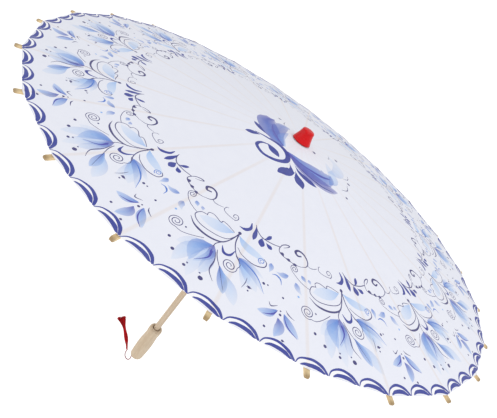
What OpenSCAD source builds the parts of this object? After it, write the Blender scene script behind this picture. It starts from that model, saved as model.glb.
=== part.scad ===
// Oil paper umbrella: a shallow paper canopy on split bamboo ribs, folded by
// a ring of stretchers and a turned runner that slides on the shaft.
// Millimetres, +Z up along the shaft. The origin is the middle of the grip.
// Ribs are numbered anticlockwise from +X, seen from above.

/* [Canopy] */
// Diameter of the paper, measured across two opposite ribs
canopy_d = 850; // [700:10:1000]
// Fall of an open rib below the horizontal, in degrees
canopy_slope = 7; // [6:0.5:10]
// Thickness of the oiled paper
paper_t = 0.5; // [0.3:0.1:0.8]
// Gap between the top of a rib and the paper
paper_gap = 0.3; // [0.2:0.1:0.6]

/* [Ribs] */
// Width of a rib over its outer part
rib_w = 5.5; // [5:0.1:6]
// Depth of a rib at the hub
rib_h = 5; // [4:0.1:6]
// Depth of a rib at its tip
rib_tip_h = 3.5; // [2.5:0.1:4]
// Length of rib that stands out past the paper
rib_overhang = 8; // [5:1:20]

/* [Stretchers] */
// Distance between the two pivots of a stretcher, and from the hub pivot to the rib joint
stretcher_len = 200; // [160:5:240]
// Width of a stretcher
stretcher_w = 3.8; // [3:0.1:4.2]
// Depth of a stretcher
stretcher_h = 3.8; // [3:0.1:4.2]
// Thickness of the tongue that turns inside the slit of the rib
tongue_t = 1.7; // [1.2:0.1:2.2]

/* [Hub and runner] */
// Radius of the circle on which ribs and stretchers are threaded
pivot_r = 18; // [17:0.5:24]
// Wood outside the pivot circle
wheel_rim = 4.5; // [3:0.5:6]
// Width of the root of a rib or stretcher, where it enters its slot
root_w = 2.6; // [2:0.1:3]
// Diameter of the threading wire and of the rib joint pins
wire_d = 1.6; // [1.2:0.1:1.8]
// Diameter of the hub neck that is nailed to the shaft
neck_d = 22; // [18:1:24]
// Length of the hub neck
neck_len = 7; // [5:1:12]
// Diameter of the nail through the neck
nail_d = 1.2; // [1:0.1:2]
// Diameter of the boss that passes through the paper
boss_d = 18; // [16:1:22]
// Diameter of the runner's sleeve
sleeve_d = 23; // [19:1:26]
// Length of the runner's sleeve below its wheel
sleeve_len = 26; // [16:1:40]

/* [Shaft] */
// Diameter of the shaft
shaft_d = 13; // [11:0.5:14]
// Height of the hub pivots above the middle of the grip
hub_height = 570; // [520:1:700]

/* [Handle] */
// Length of the turned grip
handle_len = 105; // [90:1:130]
// Diameter of the grip where it is fullest
handle_d = 31; // [29:0.5:36]
// Diameter of the grip's waist, below its collar
waist_d = 27.5; // [24:0.5:28]
// Diameter of the collar at the grip's top
collar_d = 29; // [27:0.5:34]
// Length of the collar, without its chamfer
collar_len = 13; // [8:1:20]
// Depth of the socket that holds the shaft
socket_depth = 55; // [30:1:60]
// Diameter of the socket's countersunk mouth
mouth_d = 17; // [15.5:0.5:19]
// Depth of the socket's mouth
mouth_depth = 5; // [2:0.5:8]

/* [Cap] */
// Diameter of the lacquered cap at its base
cap_d = 34; // [28:1:40]
// Height of the cap
cap_h = 24; // [20:1:30]
// Diameter of the cap at its shoulder
cap_top_d = 22.5; // [18:0.5:25]
// Length of shaft end inside the cap
cap_socket = 12; // [8:1:15]

/* [Latch] */
// Length of the spring catch above its pin
latch_len = 54; // [40:1:70]
// Thickness of the catch
latch_t = 2.4; // [1.6:0.2:3]
// How far the catch stands out of the shaft
latch_out = 4; // [3:0.5:5]

/* [Tassel] */
// Diameter of the tassel's cord
cord_d = 2; // [1.4:0.2:3]
// Length of the tassel
tassel_len = 76; // [50:1:100]
// Diameter of the tassel's tied head
head_d = 9; // [6:0.5:10]
// Diameter of the spread fringe end
fringe_d = 17; // [12:1:20]

/* [Clearances] */
// Gap each side of a rib, stretcher or tongue in its slot
slot_gap = 0.2; // [0.15:0.05:0.3]
// Radial running clearance of an eye on its wire
wire_gap = 0.07; // [0.05:0.01:0.1]
// Radial running clearance of a tongue on its joint pin
pin_gap = 0.05; // [0.02:0.01:0.1]
// Radial clearance of a joint pin in the cheeks of its rib
pin_seat = 0.02; // [0.02:0.01:0.05]
// Radial gap between the runner and the shaft
runner_gap = 0.3; // [0.2:0.05:0.5]
// Gap between pieces that are glued or seated on each other with a film between
seat_gap = 0.2; // [0.1:0.05:0.3]

/* [Hidden] */
$fn = 48;
RIBS = 24;
STEP = 360 / RIBS;
function two_digits(i) = str(i < 10 ? "0" : "", i);
function rib_name(i) = str("rib_", two_digits(i));
function stretcher_name(i) = str("stretcher_", two_digits(i));

eps = 0.5;                       // how far a cutter runs past the face it opens
shaft_r = shaft_d / 2;
wire_r = wire_d / 2;
canopy_r = canopy_d / 2;
wheel_r = pivot_r + wheel_rim;

// ribs
rib_len = (canopy_r + rib_overhang - pivot_r) / cos(canopy_slope);
rib_top = rib_h / 2;             // top face above the pivot line
rib_bottom_tip = rib_top - rib_tip_h;
rib_root_len = 8;                // length of the narrow root
rib_full_at = 160;               // where the rib reaches its full width
rib_tip_w = rib_w - 1.5;
slit_w = tongue_t + 2 * slot_gap;
slit_in = 20;                    // slit on the hub side of the joint
slit_out = 45;                   // slit on the tip side of the joint

// stretchers
tongue_len = slit_out + 3;
tongue_flare = 6;
eye_r = stretcher_h / 2;
stretcher_root_len = 8;
stretcher_taper_at = stretcher_len - 50;

// the wire is a true ring, so it sits a little outside the straight eyes' tangent
wire_ring_r = pivot_r + pow(root_w / 2, 2) / (4 * pivot_r);
slot_w = root_w + 2 * slot_gap;
rib_end_gap = 1.1;               // between a rib's eye and the bottom of its slot
slot_floor_r = pivot_r - rib_h / 2 - rib_end_gap;

// heights
hub_under = 9;                   // wood of the hub below its hinge circle
hub_over = 2;                    // wood of the hub above it
wheel_over = 5;                  // wood of the runner's wheel above its hinge circle
wheel_under = 7;                 // wood of the runner's wheel below it
slot_drop = 0.4;                 // room under a stretcher's eye in its slot
runner_fillet = 4;               // from the wheel down to the sleeve
foot_chamfer = 1.5;              // round the foot of the runner
hub_z = hub_height;
hub_bottom_z = hub_z - hub_under;
hub_top_z = hub_z + hub_over;
runner_z = hub_z - 2 * stretcher_len * sin(canopy_slope);
runner_top_z = runner_z + wheel_over;
runner_slot_z = runner_z - eye_r - slot_drop;
runner_wheel_z = runner_z - wheel_under;
runner_bottom_z = runner_wheel_z - runner_fillet - sleeve_len;
handle_top_z = handle_len / 2;
handle_bottom_z = -handle_len / 2;
socket_floor_z = handle_top_z - socket_depth;
end_round = 8;                   // rounding of the grip's end
end_taper = 1.2;                 // narrowing of the body towards that end
full_at = 0.45;                  // share of the grip's length where it is fullest
collar_chamfer = 4;              // top of the collar, above its straight part
collar_step = 1.5;               // half height of the step from waist to collar
collar_round = 3;

// underside of the paper on the line of a rib, and its top
function paper_under_z(r) =
    hub_z + (rib_top + paper_gap) / cos(canopy_slope) - (r - pivot_r) * tan(canopy_slope);
function paper_top_z(r) = paper_under_z(r) + paper_t / cos(canopy_slope);
paper_hole_r = boss_d / 2 + seat_gap + 0.3;
cap_z = paper_top_z(paper_hole_r) + seat_gap;
boss_top_z = cap_z - seat_gap;
shaft_top_z = cap_z + cap_socket;

// cap
cap_round = 3.2;                 // rounding of its shoulder
cap_dome = 1;                    // rise of its top above the shoulder
cap_foot = 0.7;                  // rounding of its foot
cap_hollow = 1.3;                // above 1 its sides are hollow

// latch
latch_gap = 0.8;                 // between the catch's shoulder and the runner
latch_angle = 187.5;             // azimuth, between two ribs
latch_pin_d = 1.6;
latch_pin_x = 2;
latch_foot = 4;
latch_top_z = runner_bottom_z - latch_gap;
latch_pin_z = latch_top_z - latch_len;
latch_slot_x = -3;
latch_foot_half = 1.8;           // half width of the catch at its pin
latch_back_at = 4;               // where its back leaves the foot
latch_belly_at = 0.45;           // share of its length where its front meets the slot's mouth
latch_belly_in = 0.6;            // how far inside the shaft's face it is there
latch_nose = 3;                  // height of its nose
latch_nose_in = 0.6;             // set-back of the top of its nose
latch_slot_w = latch_t + 2 * slot_gap;

// the tassel's cord, from inside the bottom of the grip round one bight to the tassel
CORD = [
    [1.6, -8.3, -51.5], [1.8, -8.1, -55], [2.4, -7.4, -57.5], [3.4, -6.3, -60],
    [4.6, -5.2, -62.5], [6.0, -4.6, -65], [7.6, -4.9, -67], [9.3, -6.4, -68.2],
    [10.6, -8.8, -68.2], [11.6, -11.5, -67.1], [12.4, -14.0, -65], [12.8, -16.2, -62.4],
    [12.6, -18.2, -59.6], [11.6, -19.8, -57.2], [10.0, -20.8, -55.6], [8.2, -21.3, -54.8],
    [6.5, -21.8, -54.2]];
CORD_SIDES = 8;
cord_r = cord_d / 2;
knot_r = 0.75 * cord_d;          // round knot that heads the tassel, centred on its hinge
cord_end = CORD[len(CORD) - 1];
tassel_pivot = cord_end + unit(cord_end - CORD[len(CORD) - 2]) * (knot_r + seat_gap);
tassel_dir = [-0.16, -0.78, 0.6];

bamboo = "#d8c49c";
turned_wood = "#cdb99b";
lacquer = "#d70a14";
paper_colour = "#eaecf6";
steel = "#a8a8a8";
silk = "#a5000f";

// ---- helpers ----

// turns a shape drawn outwards along +X to the azimuth of rib i
module at_rib(i) { rotate([0, 0, (i - 1) * STEP]) children(); }

// lays a side view, drawn as length by height, upright with its width centred
module side_plate(w) { rotate([90, 0, 0]) translate([0, 0, -w / 2]) linear_extrude(w) children(); }

// round bar along Y, centred
module bar_y(d, len) { rotate([90, 0, 0]) cylinder(h = len, d = d, center = true); }

module wire_ring(d, z) {
    translate([0, 0, z]) rotate_extrude() translate([wire_ring_r, 0]) circle(d = d);
}

module wheel_slots(z_low, z_high) {
    for (i = [1 : RIBS]) at_rib(i)
        translate([slot_floor_r, -slot_w / 2, z_low])
            cube([wheel_r - slot_floor_r + eps, slot_w, z_high - z_low]);
}

// half plan of a tapering strip, mirrored about its own line
function mirrored(half) = concat(
    half, [for (k = [len(half) - 1 : -1 : 0]) [half[k][0], -half[k][1]]]);

function unit(v) = v / norm(v);
function tangent(path, k) =
    unit(path[min(k + 1, len(path) - 1)] - path[max(k - 1, 0)]);
function ring_at(p, t, r, sides) =
    let (u = unit(cross(t, [1, 0, 0])), v = cross(t, u))
    [for (s = [0 : sides - 1]) p + r * (cos(360 * s / sides) * u + sin(360 * s / sides) * v)];

// round tube swept along a list of points
module swept_tube(path, r, sides) {
    n = len(path);
    points = [for (k = [0 : n - 1]) each ring_at(path[k], tangent(path, k), r, sides)];
    walls = [for (k = [0 : n - 2], s = [0 : sides - 1])
        let (a = k * sides + s, b = k * sides + (s + 1) % sides)
        [a, a + sides, b + sides, b]];
    start_cap = [for (s = [0 : sides - 1]) s];
    end_cap = [for (s = [sides - 1 : -1 : 0]) (n - 1) * sides + s];
    polyhedron(points, concat(walls, [start_cap, end_cap]));
}

// ---- fixed pieces on the shaft ----

module shaft() {
    color(turned_wood) difference() {
        translate([0, 0, socket_floor_z])
            cylinder(h = shaft_top_z - socket_floor_z, r = shaft_r);
        rotate([0, 0, latch_angle]) {
            translate([latch_slot_x, -latch_slot_w / 2, latch_pin_z - latch_foot - 1])
                cube([shaft_r - latch_slot_x + eps, latch_slot_w, latch_len + latch_foot + 5]);
            translate([latch_pin_x, 0, latch_pin_z])
                bar_y(latch_pin_d + 2 * pin_gap, shaft_d + 2 * eps);
        }
        translate([0, 0, hub_bottom_z - neck_len / 2]) bar_y(nail_d, shaft_d + 2 * eps);
    }
}

// rounded end, a full body that narrows to a waist, and a chamfered collar
module handle() {
    body_r = handle_d / 2;
    waist_r = waist_d / 2;
    collar_r = collar_d / 2;
    end_r = body_r - end_taper;
    end_z = handle_bottom_z + end_round;
    full_z = handle_bottom_z + full_at * handle_len;
    collar_low_z = handle_top_z - collar_chamfer - collar_len;
    color(turned_wood) difference() {
        rotate_extrude() polygon(concat(
            [[0, handle_bottom_z]],
            [for (a = [-90 : 15 : 0]) [end_r - end_round * (1 - cos(a)), end_z + end_round * sin(a)]],
            [for (s = [0.25 : 0.25 : 1])
                [end_r + end_taper * sin(90 * s), end_z + s * (full_z - end_z)]],
            [for (s = [0.2 : 0.2 : 1])
                [body_r - (body_r - waist_r) * (1 - cos(180 * s)) / 2,
                 full_z + s * (collar_low_z - collar_step - full_z)]],
            [[collar_r, collar_low_z + collar_step], [collar_r, handle_top_z - collar_chamfer],
             [collar_r - collar_round / 2, handle_top_z - collar_round / 2],
             [collar_r - collar_round, handle_top_z], [0, handle_top_z]]));
        translate([0, 0, socket_floor_z]) cylinder(h = socket_depth + eps, r = shaft_r);
        translate([0, 0, handle_top_z - mouth_depth]) cylinder(h = mouth_depth + eps, d = mouth_d);
    }
}

module top_hub() {
    color(turned_wood) difference() {
        union() {
            translate([0, 0, hub_bottom_z]) cylinder(h = hub_top_z - hub_bottom_z, r = wheel_r);
            translate([0, 0, hub_bottom_z - neck_len]) cylinder(h = neck_len, d = neck_d);
            translate([0, 0, hub_top_z]) cylinder(h = boss_top_z - hub_top_z, d = boss_d);
        }
        translate([0, 0, hub_bottom_z - neck_len - eps])
            cylinder(h = boss_top_z - hub_bottom_z + neck_len + 2 * eps, r = shaft_r);
        wheel_slots(hub_bottom_z - eps, hub_top_z + eps);
        wire_ring(wire_d, hub_z);
        translate([0, 0, hub_bottom_z - neck_len / 2]) bar_y(nail_d, neck_d + 2 * eps);
    }
}

module hub_wire() { color(steel) wire_ring(wire_d, hub_z); }

module hub_nail() {
    color(steel) translate([0, 0, hub_bottom_z - neck_len / 2]) bar_y(nail_d, neck_d);
}

// flared base, slightly hollow sides and a flat domed top
module cap() {
    top_r = cap_top_d / 2;
    flare = cap_d / 2 - top_r;
    side_h = cap_h - cap_round - cap_dome;
    color(lacquer) translate([0, 0, cap_z]) difference() {
        rotate_extrude() polygon(concat(
            [[0, 0], [cap_d / 2 - cap_foot, 0]],
            [for (s = [0 : 0.2 : 1])
                [top_r + flare * pow(1 - s, cap_hollow), cap_foot + s * (side_h - cap_foot)]],
            [for (a = [15 : 15 : 75])
                [top_r - cap_round * (1 - cos(a)), side_h + cap_round * sin(a)]],
            [[top_r - cap_round, side_h + cap_round], [0, cap_h]]));
        translate([0, 0, -eps]) cylinder(h = cap_socket + eps, r = shaft_r);
    }
}

// one thin shell with a fold line over every rib
module canopy() {
    rings = [paper_hole_r, canopy_r];
    n = RIBS;
    points = concat(
        [for (r = rings, i = [0 : n - 1]) [r * cos(i * STEP), r * sin(i * STEP), paper_top_z(r)]],
        [for (r = rings, i = [0 : n - 1]) [r * cos(i * STEP), r * sin(i * STEP), paper_under_z(r)]]);
    function strip(a, b) = [for (i = [0 : n - 1])
        [a + i, b + i, b + (i + 1) % n, a + (i + 1) % n]];
    color(paper_colour) polyhedron(points, concat(
        strip(n, 0), strip(0, 2 * n), strip(2 * n, 3 * n), strip(3 * n, n)));
}

// ---- folding frame ----

// drawn along +X from its hub pivot, top face up
module rib(i) {
    plan = mirrored([
        [-rib_h / 2 - eps, root_w / 2], [rib_root_len, root_w / 2], [rib_full_at, rib_w / 2],
        [rib_len - 3, rib_w / 2], [rib_len, rib_tip_w / 2]]);
    color(bamboo) at_rib(i) translate([pivot_r, 0, hub_z]) rotate([0, canopy_slope, 0]) {
        difference() {
            intersection() {
                side_plate(rib_w + 2 * eps) {
                    circle(d = rib_h);
                    polygon([[0, -rib_h / 2], [stretcher_len, -rib_h / 2],
                             [rib_len - 1, rib_bottom_tip], [rib_len, rib_bottom_tip + 0.8],
                             [rib_len, rib_top - 0.8], [rib_len - 1, rib_top], [0, rib_top]]);
                }
                translate([0, 0, -rib_h]) linear_extrude(2 * rib_h) polygon(plan);
            }
            bar_y(wire_d + 2 * wire_gap, rib_w + 2 * eps);
            translate([stretcher_len - slit_in, -slit_w / 2, -rib_h])
                cube([slit_in + slit_out, slit_w, 2 * rib_h]);
            translate([stretcher_len, 0, 0]) bar_y(wire_d + 2 * pin_seat, rib_w + 2 * eps);
        }
        translate([stretcher_len, 0, 0]) bar_y(wire_d, rib_w);
    }
}

// drawn along +X from its joint with the rib to its pivot in the runner
module stretcher(i) {
    plan = mirrored([
        [-eye_r - eps, tongue_t / 2], [tongue_len, tongue_t / 2],
        [tongue_len + tongue_flare, stretcher_w / 2], [stretcher_taper_at, stretcher_w / 2],
        [stretcher_len - stretcher_root_len, root_w / 2], [stretcher_len + eye_r + eps, root_w / 2]]);
    joint_x = pivot_r + stretcher_len * cos(canopy_slope);
    joint_z = hub_z - stretcher_len * sin(canopy_slope);
    color(bamboo) at_rib(i) translate([joint_x, 0, joint_z]) rotate([0, 180 - canopy_slope, 0])
        difference() {
            intersection() {
                side_plate(stretcher_w + 2 * eps) {
                    circle(d = stretcher_h);
                    translate([0, -stretcher_h / 2]) square([stretcher_len, stretcher_h]);
                    translate([stretcher_len, 0]) circle(d = stretcher_h);
                }
                translate([0, 0, -stretcher_h]) linear_extrude(2 * stretcher_h) polygon(plan);
            }
            bar_y(wire_d + 2 * pin_gap, stretcher_w + 2 * eps);
            translate([stretcher_len, 0, 0]) bar_y(wire_d + 2 * wire_gap, stretcher_w + 2 * eps);
        }
}

module runner() {
    bore_r = shaft_r + runner_gap;
    sleeve_r = sleeve_d / 2;
    step_r = wheel_r - sleeve_r;
    color(turned_wood) difference() {
        rotate_extrude() polygon(concat(
            [[bore_r, runner_top_z], [wheel_r, runner_top_z], [wheel_r, runner_wheel_z]],
            [for (a = [15 : 15 : 75]) [wheel_r - step_r * sin(a),
                runner_wheel_z - runner_fillet * (1 - cos(a))]],
            [[sleeve_r, runner_wheel_z - runner_fillet], [sleeve_r, runner_bottom_z + foot_chamfer],
             [sleeve_r - foot_chamfer, runner_bottom_z], [bore_r, runner_bottom_z]]));
        wheel_slots(runner_slot_z, runner_top_z + eps);
        wire_ring(wire_d, runner_z);
    }
}

module runner_wire() { color(steel) wire_ring(wire_d, runner_z); }

// three-cornered spring catch that turns on a pin low in the shaft's slot
module latch_spring() {
    out_x = shaft_r + latch_out;
    color(steel) rotate([0, 0, latch_angle]) translate([0, 0, latch_pin_z]) {
        difference() {
            side_plate(latch_t) polygon([
                [latch_pin_x - latch_foot_half, -latch_foot],
                [latch_pin_x + latch_foot_half, -latch_foot],
                [shaft_r - latch_belly_in, latch_len * latch_belly_at],
                [out_x, latch_len - latch_nose], [out_x - latch_nose_in, latch_len],
                [latch_pin_x, latch_len], [latch_pin_x - latch_foot_half, latch_back_at]]);
            translate([latch_pin_x, 0, 0]) bar_y(latch_pin_d, latch_t + 2 * eps);
        }
        translate([latch_pin_x, 0, 0]) bar_y(latch_pin_d, shaft_d - 2);
    }
}

// ---- tassel ----

module tassel_cord() { color(silk) swept_tube(CORD, cord_r, CORD_SIDES); }

// round knot, tied head, full skirt, a nipped waist and a spread fringe
module tassel() {
    lean = acos(unit(tassel_dir)[2]);
    bearing = atan2(tassel_dir[1], tassel_dir[0]);
    head_r = head_d / 2;
    fringe_r = fringe_d / 2;
    color(silk) translate(tassel_pivot) rotate([0, lean, bearing]) {
        sphere(knot_r);
        rotate_extrude() polygon([
            [0, 0], [knot_r * 0.6, knot_r * 0.7], [head_r * 0.45, tassel_len * 0.05],
            [head_r * 0.8, tassel_len * 0.13], [head_r, tassel_len * 0.21],
            [head_r * 1.15, tassel_len * 0.4], [head_r * 0.9, tassel_len * 0.64],
            [fringe_r * 0.7, tassel_len * 0.85], [fringe_r, tassel_len], [0, tassel_len]]);
    }
}

shaft();
handle();
top_hub();
hub_wire();
hub_nail();
cap();
canopy();
runner();
runner_wire();
latch_spring();
tassel_cord();
tassel();
for (i = [1 : RIBS]) {
    rib(i);
    stretcher(i);
}
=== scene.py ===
"""Looks of a folding oil paper umbrella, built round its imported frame."""

import logging
import math
from dataclasses import dataclass, field, replace
from enum import Enum

import bpy
import numpy as np
from mathutils import Matrix, Vector
from mathutils.geometry import delaunay_2d_cdt


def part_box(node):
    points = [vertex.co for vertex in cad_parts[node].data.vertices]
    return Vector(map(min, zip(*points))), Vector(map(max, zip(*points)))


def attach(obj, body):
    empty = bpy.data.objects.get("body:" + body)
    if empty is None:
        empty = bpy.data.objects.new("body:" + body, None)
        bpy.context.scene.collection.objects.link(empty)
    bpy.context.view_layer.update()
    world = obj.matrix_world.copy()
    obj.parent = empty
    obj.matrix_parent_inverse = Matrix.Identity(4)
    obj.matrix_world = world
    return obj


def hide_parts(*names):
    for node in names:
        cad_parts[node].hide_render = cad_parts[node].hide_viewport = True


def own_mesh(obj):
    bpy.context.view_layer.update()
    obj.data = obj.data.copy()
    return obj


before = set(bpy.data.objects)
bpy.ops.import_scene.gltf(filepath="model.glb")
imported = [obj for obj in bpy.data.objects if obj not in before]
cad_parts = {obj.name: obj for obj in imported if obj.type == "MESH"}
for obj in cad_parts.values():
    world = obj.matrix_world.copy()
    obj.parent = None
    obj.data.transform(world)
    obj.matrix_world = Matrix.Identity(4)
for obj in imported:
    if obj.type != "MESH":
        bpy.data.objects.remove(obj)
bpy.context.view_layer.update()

LOG = logging.getLogger("umbrella")
MM = 0.001
RIBS = 24
PITCH = 2 * math.pi / RIBS
RING_R = 346.0  # radius in mm at which the painted repeats keep their drawn width
PLAN_WIDTH = 120.0  # width in mm that the plan map's 0 to 1 stands for

Points = list[tuple[float, float]]
Route = list[tuple[float, float, float]]


def linear(red: int, green: int, blue: int) -> tuple[float, float, float, float]:
    """Turns a display colour, 0 to 255, into a linear one with full alpha.

    Args:
        red: red, from 0 to 255.
        green: green, from 0 to 255.
        blue: blue, from 0 to 255.

    Returns:
        The linear red, green, blue and alpha.
    """
    channels = (c / 255 for c in (red, green, blue))
    values = [c / 12.92 if c <= 0.04045 else ((c + 0.055) / 1.055) ** 2.4 for c in channels]
    return (values[0], values[1], values[2], 1.0)


class Pigment(Enum):
    """The blues and greys that the painter uses, and the bare paper."""

    PAPER = linear(238, 240, 250)
    WHITE = linear(252, 252, 255)
    NAVY = linear(62, 72, 156)
    INK = linear(74, 72, 126)
    VIOLET = linear(82, 86, 180)
    COBALT = linear(86, 128, 212)
    SKY = linear(144, 186, 242)
    MIST = linear(196, 220, 250)


# ---------------------------------------------------------------- painting


def smooth(points: Points | Route, steps: int = 6) -> np.ndarray:
    """Runs a smooth curve through points.

    Args:
        points: the places that the curve passes through, flat or in space.
        steps: pieces between each two places.

    Returns:
        The points of the curve, one row each.
    """
    p = np.array(points, float)
    if len(p) < 3:
        t = np.linspace(0, 1, steps + 1)[:, None]
        return p[0] * (1 - t) + p[1] * t
    ends = np.vstack([2 * p[0] - p[1], p, 2 * p[-1] - p[-2]])
    out = []
    for a, b, c, d in zip(ends, ends[1:], ends[2:], ends[3:]):
        for t in np.arange(steps) / steps:
            out.append(0.5 * (2 * b + (c - a) * t + (2 * a - 5 * b + 4 * c - d) * t * t
                              + (3 * b - a - 3 * c + d) * t ** 3))
    return np.array(out + [p[-1]])


def spiral(centre: tuple[float, float], outer: float, inner: float, turns: float,
           start: float) -> Points:
    """Points of a spiral line that winds in from outer to inner.

    Args:
        centre: middle of the spiral, in mm.
        outer: radius where it starts.
        inner: radius where it ends.
        turns: whole turns, negative to wind clockwise.
        start: angle of its first point, in degrees.

    Returns:
        The points, about sixteen for each turn.
    """
    count = int(16 * abs(turns)) + 2
    shares = np.linspace(0, 1, count)
    radii = outer + (inner - outer) * shares
    angles = math.radians(start) + 2 * math.pi * turns * shares
    return [(centre[0] + r * math.cos(a), centre[1] + r * math.sin(a))
            for r, a in zip(radii, angles)]


@dataclass
class Mark:
    """One brush mark: a line with a width along it, and how its tint runs."""

    line: np.ndarray
    half: np.ndarray
    root: Pigment
    tip: Pigment
    root_cover: float = 1.0
    tip_cover: float = 1.0
    rim: float = 0.0
    soft: float = 0.0

    def moved(self, line: np.ndarray) -> "Mark":
        """The same mark, drawn along another line.

        Args:
            line: the other line, with as many points.

        Returns:
            The new mark.
        """
        return replace(self, line=line)

    def outline(self) -> np.ndarray:
        """Closed outline of the mark, anticlockwise or not as its line runs.

        Returns:
            The points of the outline, one row each.
        """
        run = np.gradient(self.line, axis=0)
        run /= np.maximum(np.linalg.norm(run, axis=1, keepdims=True), 1e-9)
        side = np.stack([-run[:, 1], run[:, 0]], axis=1) * self.half[:, None]
        return np.vstack([self.line + side, (self.line - side)[::-1]])

    def covers(self, places: np.ndarray) -> np.ndarray:
        """Which of some places the mark lies over.

        Args:
            places: points in the paper's plan, in mm.

        Returns:
            True or False for each place.
        """
        start, run = self.line[:-1], np.diff(self.line, axis=0)
        square = np.maximum((run ** 2).sum(axis=1), 1e-12)
        offset = places[:, None, :] - start[None]
        share = np.clip((offset * run).sum(axis=2) / square, 0, 1)
        gap = np.linalg.norm(offset - share[..., None] * run, axis=2)
        half = self.half[:-1] + share * np.diff(self.half)
        return (gap <= half + 1e-3).any(axis=1)

    def tint(self, places: np.ndarray) -> tuple[np.ndarray, np.ndarray]:
        """Colour and cover of the mark at some places.

        Args:
            places: points in the paper's plan, in mm.

        Returns:
            One colour and one cover from 0 to 1 for each place.
        """
        gap = np.linalg.norm(places[:, None, :] - self.line[None, :, :], axis=2)
        nearest = gap.argmin(axis=1)
        along = (nearest / (len(self.line) - 1))[:, None]
        across = gap[np.arange(len(places)), nearest] / np.maximum(self.half[nearest], 0.2)
        dark = self.rim * np.clip(across, 0, 1)[:, None] ** 2 * (1 - 0.5 * along)
        colour = np.array(self.root.value) * (1 - along) + np.array(self.tip.value) * along
        colour = colour * (1 - dark) + np.array(Pigment.VIOLET.value) * dark
        cover = self.root_cover * (1 - along) + self.tip_cover * along
        return colour, cover * (1 - self.soft * np.clip(across, 0, 1)[:, None] * (0.4 + 0.6 * along))


def petal(points: Points, width: float, root: Pigment = Pigment.COBALT,
          tip: Pigment = Pigment.MIST, root_cover: float = 1.0, tip_cover: float = 0.25,
          fullest: float = 0.55, rim: float = 0.35) -> Mark:
    """A petal or leaf that swells from its root and closes at its tip.

    Args:
        points: places along its middle, root first, in mm.
        width: its width where it is fullest.
        root: pigment at the root.
        tip: pigment at the tip.
        root_cover: how fully the paint covers at the root.
        tip_cover: how fully it covers at the tip.
        fullest: share of the length at which it is widest.
        rim: how much darker its edge is.

    Returns:
        The mark.
    """
    line = smooth(points, 5)
    share = np.linspace(0, 1, len(line)) ** (math.log(0.5) / math.log(fullest))
    half = width / 2 * np.sin(math.pi * np.clip(share, 0, 1)) ** 0.8
    return Mark(line, np.maximum(half, 0.12), root, tip, root_cover, tip_cover, rim,
                0.35 if rim else 0.0)


def stroke(points: Points, widths: tuple[float, ...], pigment: Pigment = Pigment.INK,
           steps: int = 6) -> Mark:
    """A tapered brush line.

    Args:
        points: places along the line, in mm.
        widths: full widths, spread evenly along it.
        pigment: its pigment.
        steps: pieces between each two places.

    Returns:
        The mark.
    """
    line = smooth(points, steps)
    share = np.linspace(0, 1, len(line))
    half = np.interp(share, np.linspace(0, 1, len(widths)), widths) / 2
    return Mark(line, half, pigment, pigment)


def drop(points: Points, width: float, pigment: Pigment = Pigment.NAVY) -> Mark:
    """A comma leaf: thin where it starts, full and round where it ends.

    Args:
        points: places along its middle, thin end first, in mm.
        width: its width where it is fullest.
        pigment: its pigment.

    Returns:
        The mark.
    """
    return petal(points, width, pigment, pigment, 1.0, 1.0, 0.72, 0.0)


def dot(x: float, y: float, radius: float, pigment: Pigment = Pigment.INK) -> Mark:
    """A round dab of the brush.

    Args:
        x: its place along the rim, in mm.
        y: its distance from the axis.
        radius: its radius.
        pigment: its pigment.

    Returns:
        The mark.
    """
    share = np.linspace(-1, 1, 9)
    line = np.stack([x + radius * share, np.full(9, y)], axis=1)
    half = radius * np.sqrt(np.maximum(1 - share ** 2, 0.002))
    return Mark(line, half, pigment, pigment)


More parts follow.
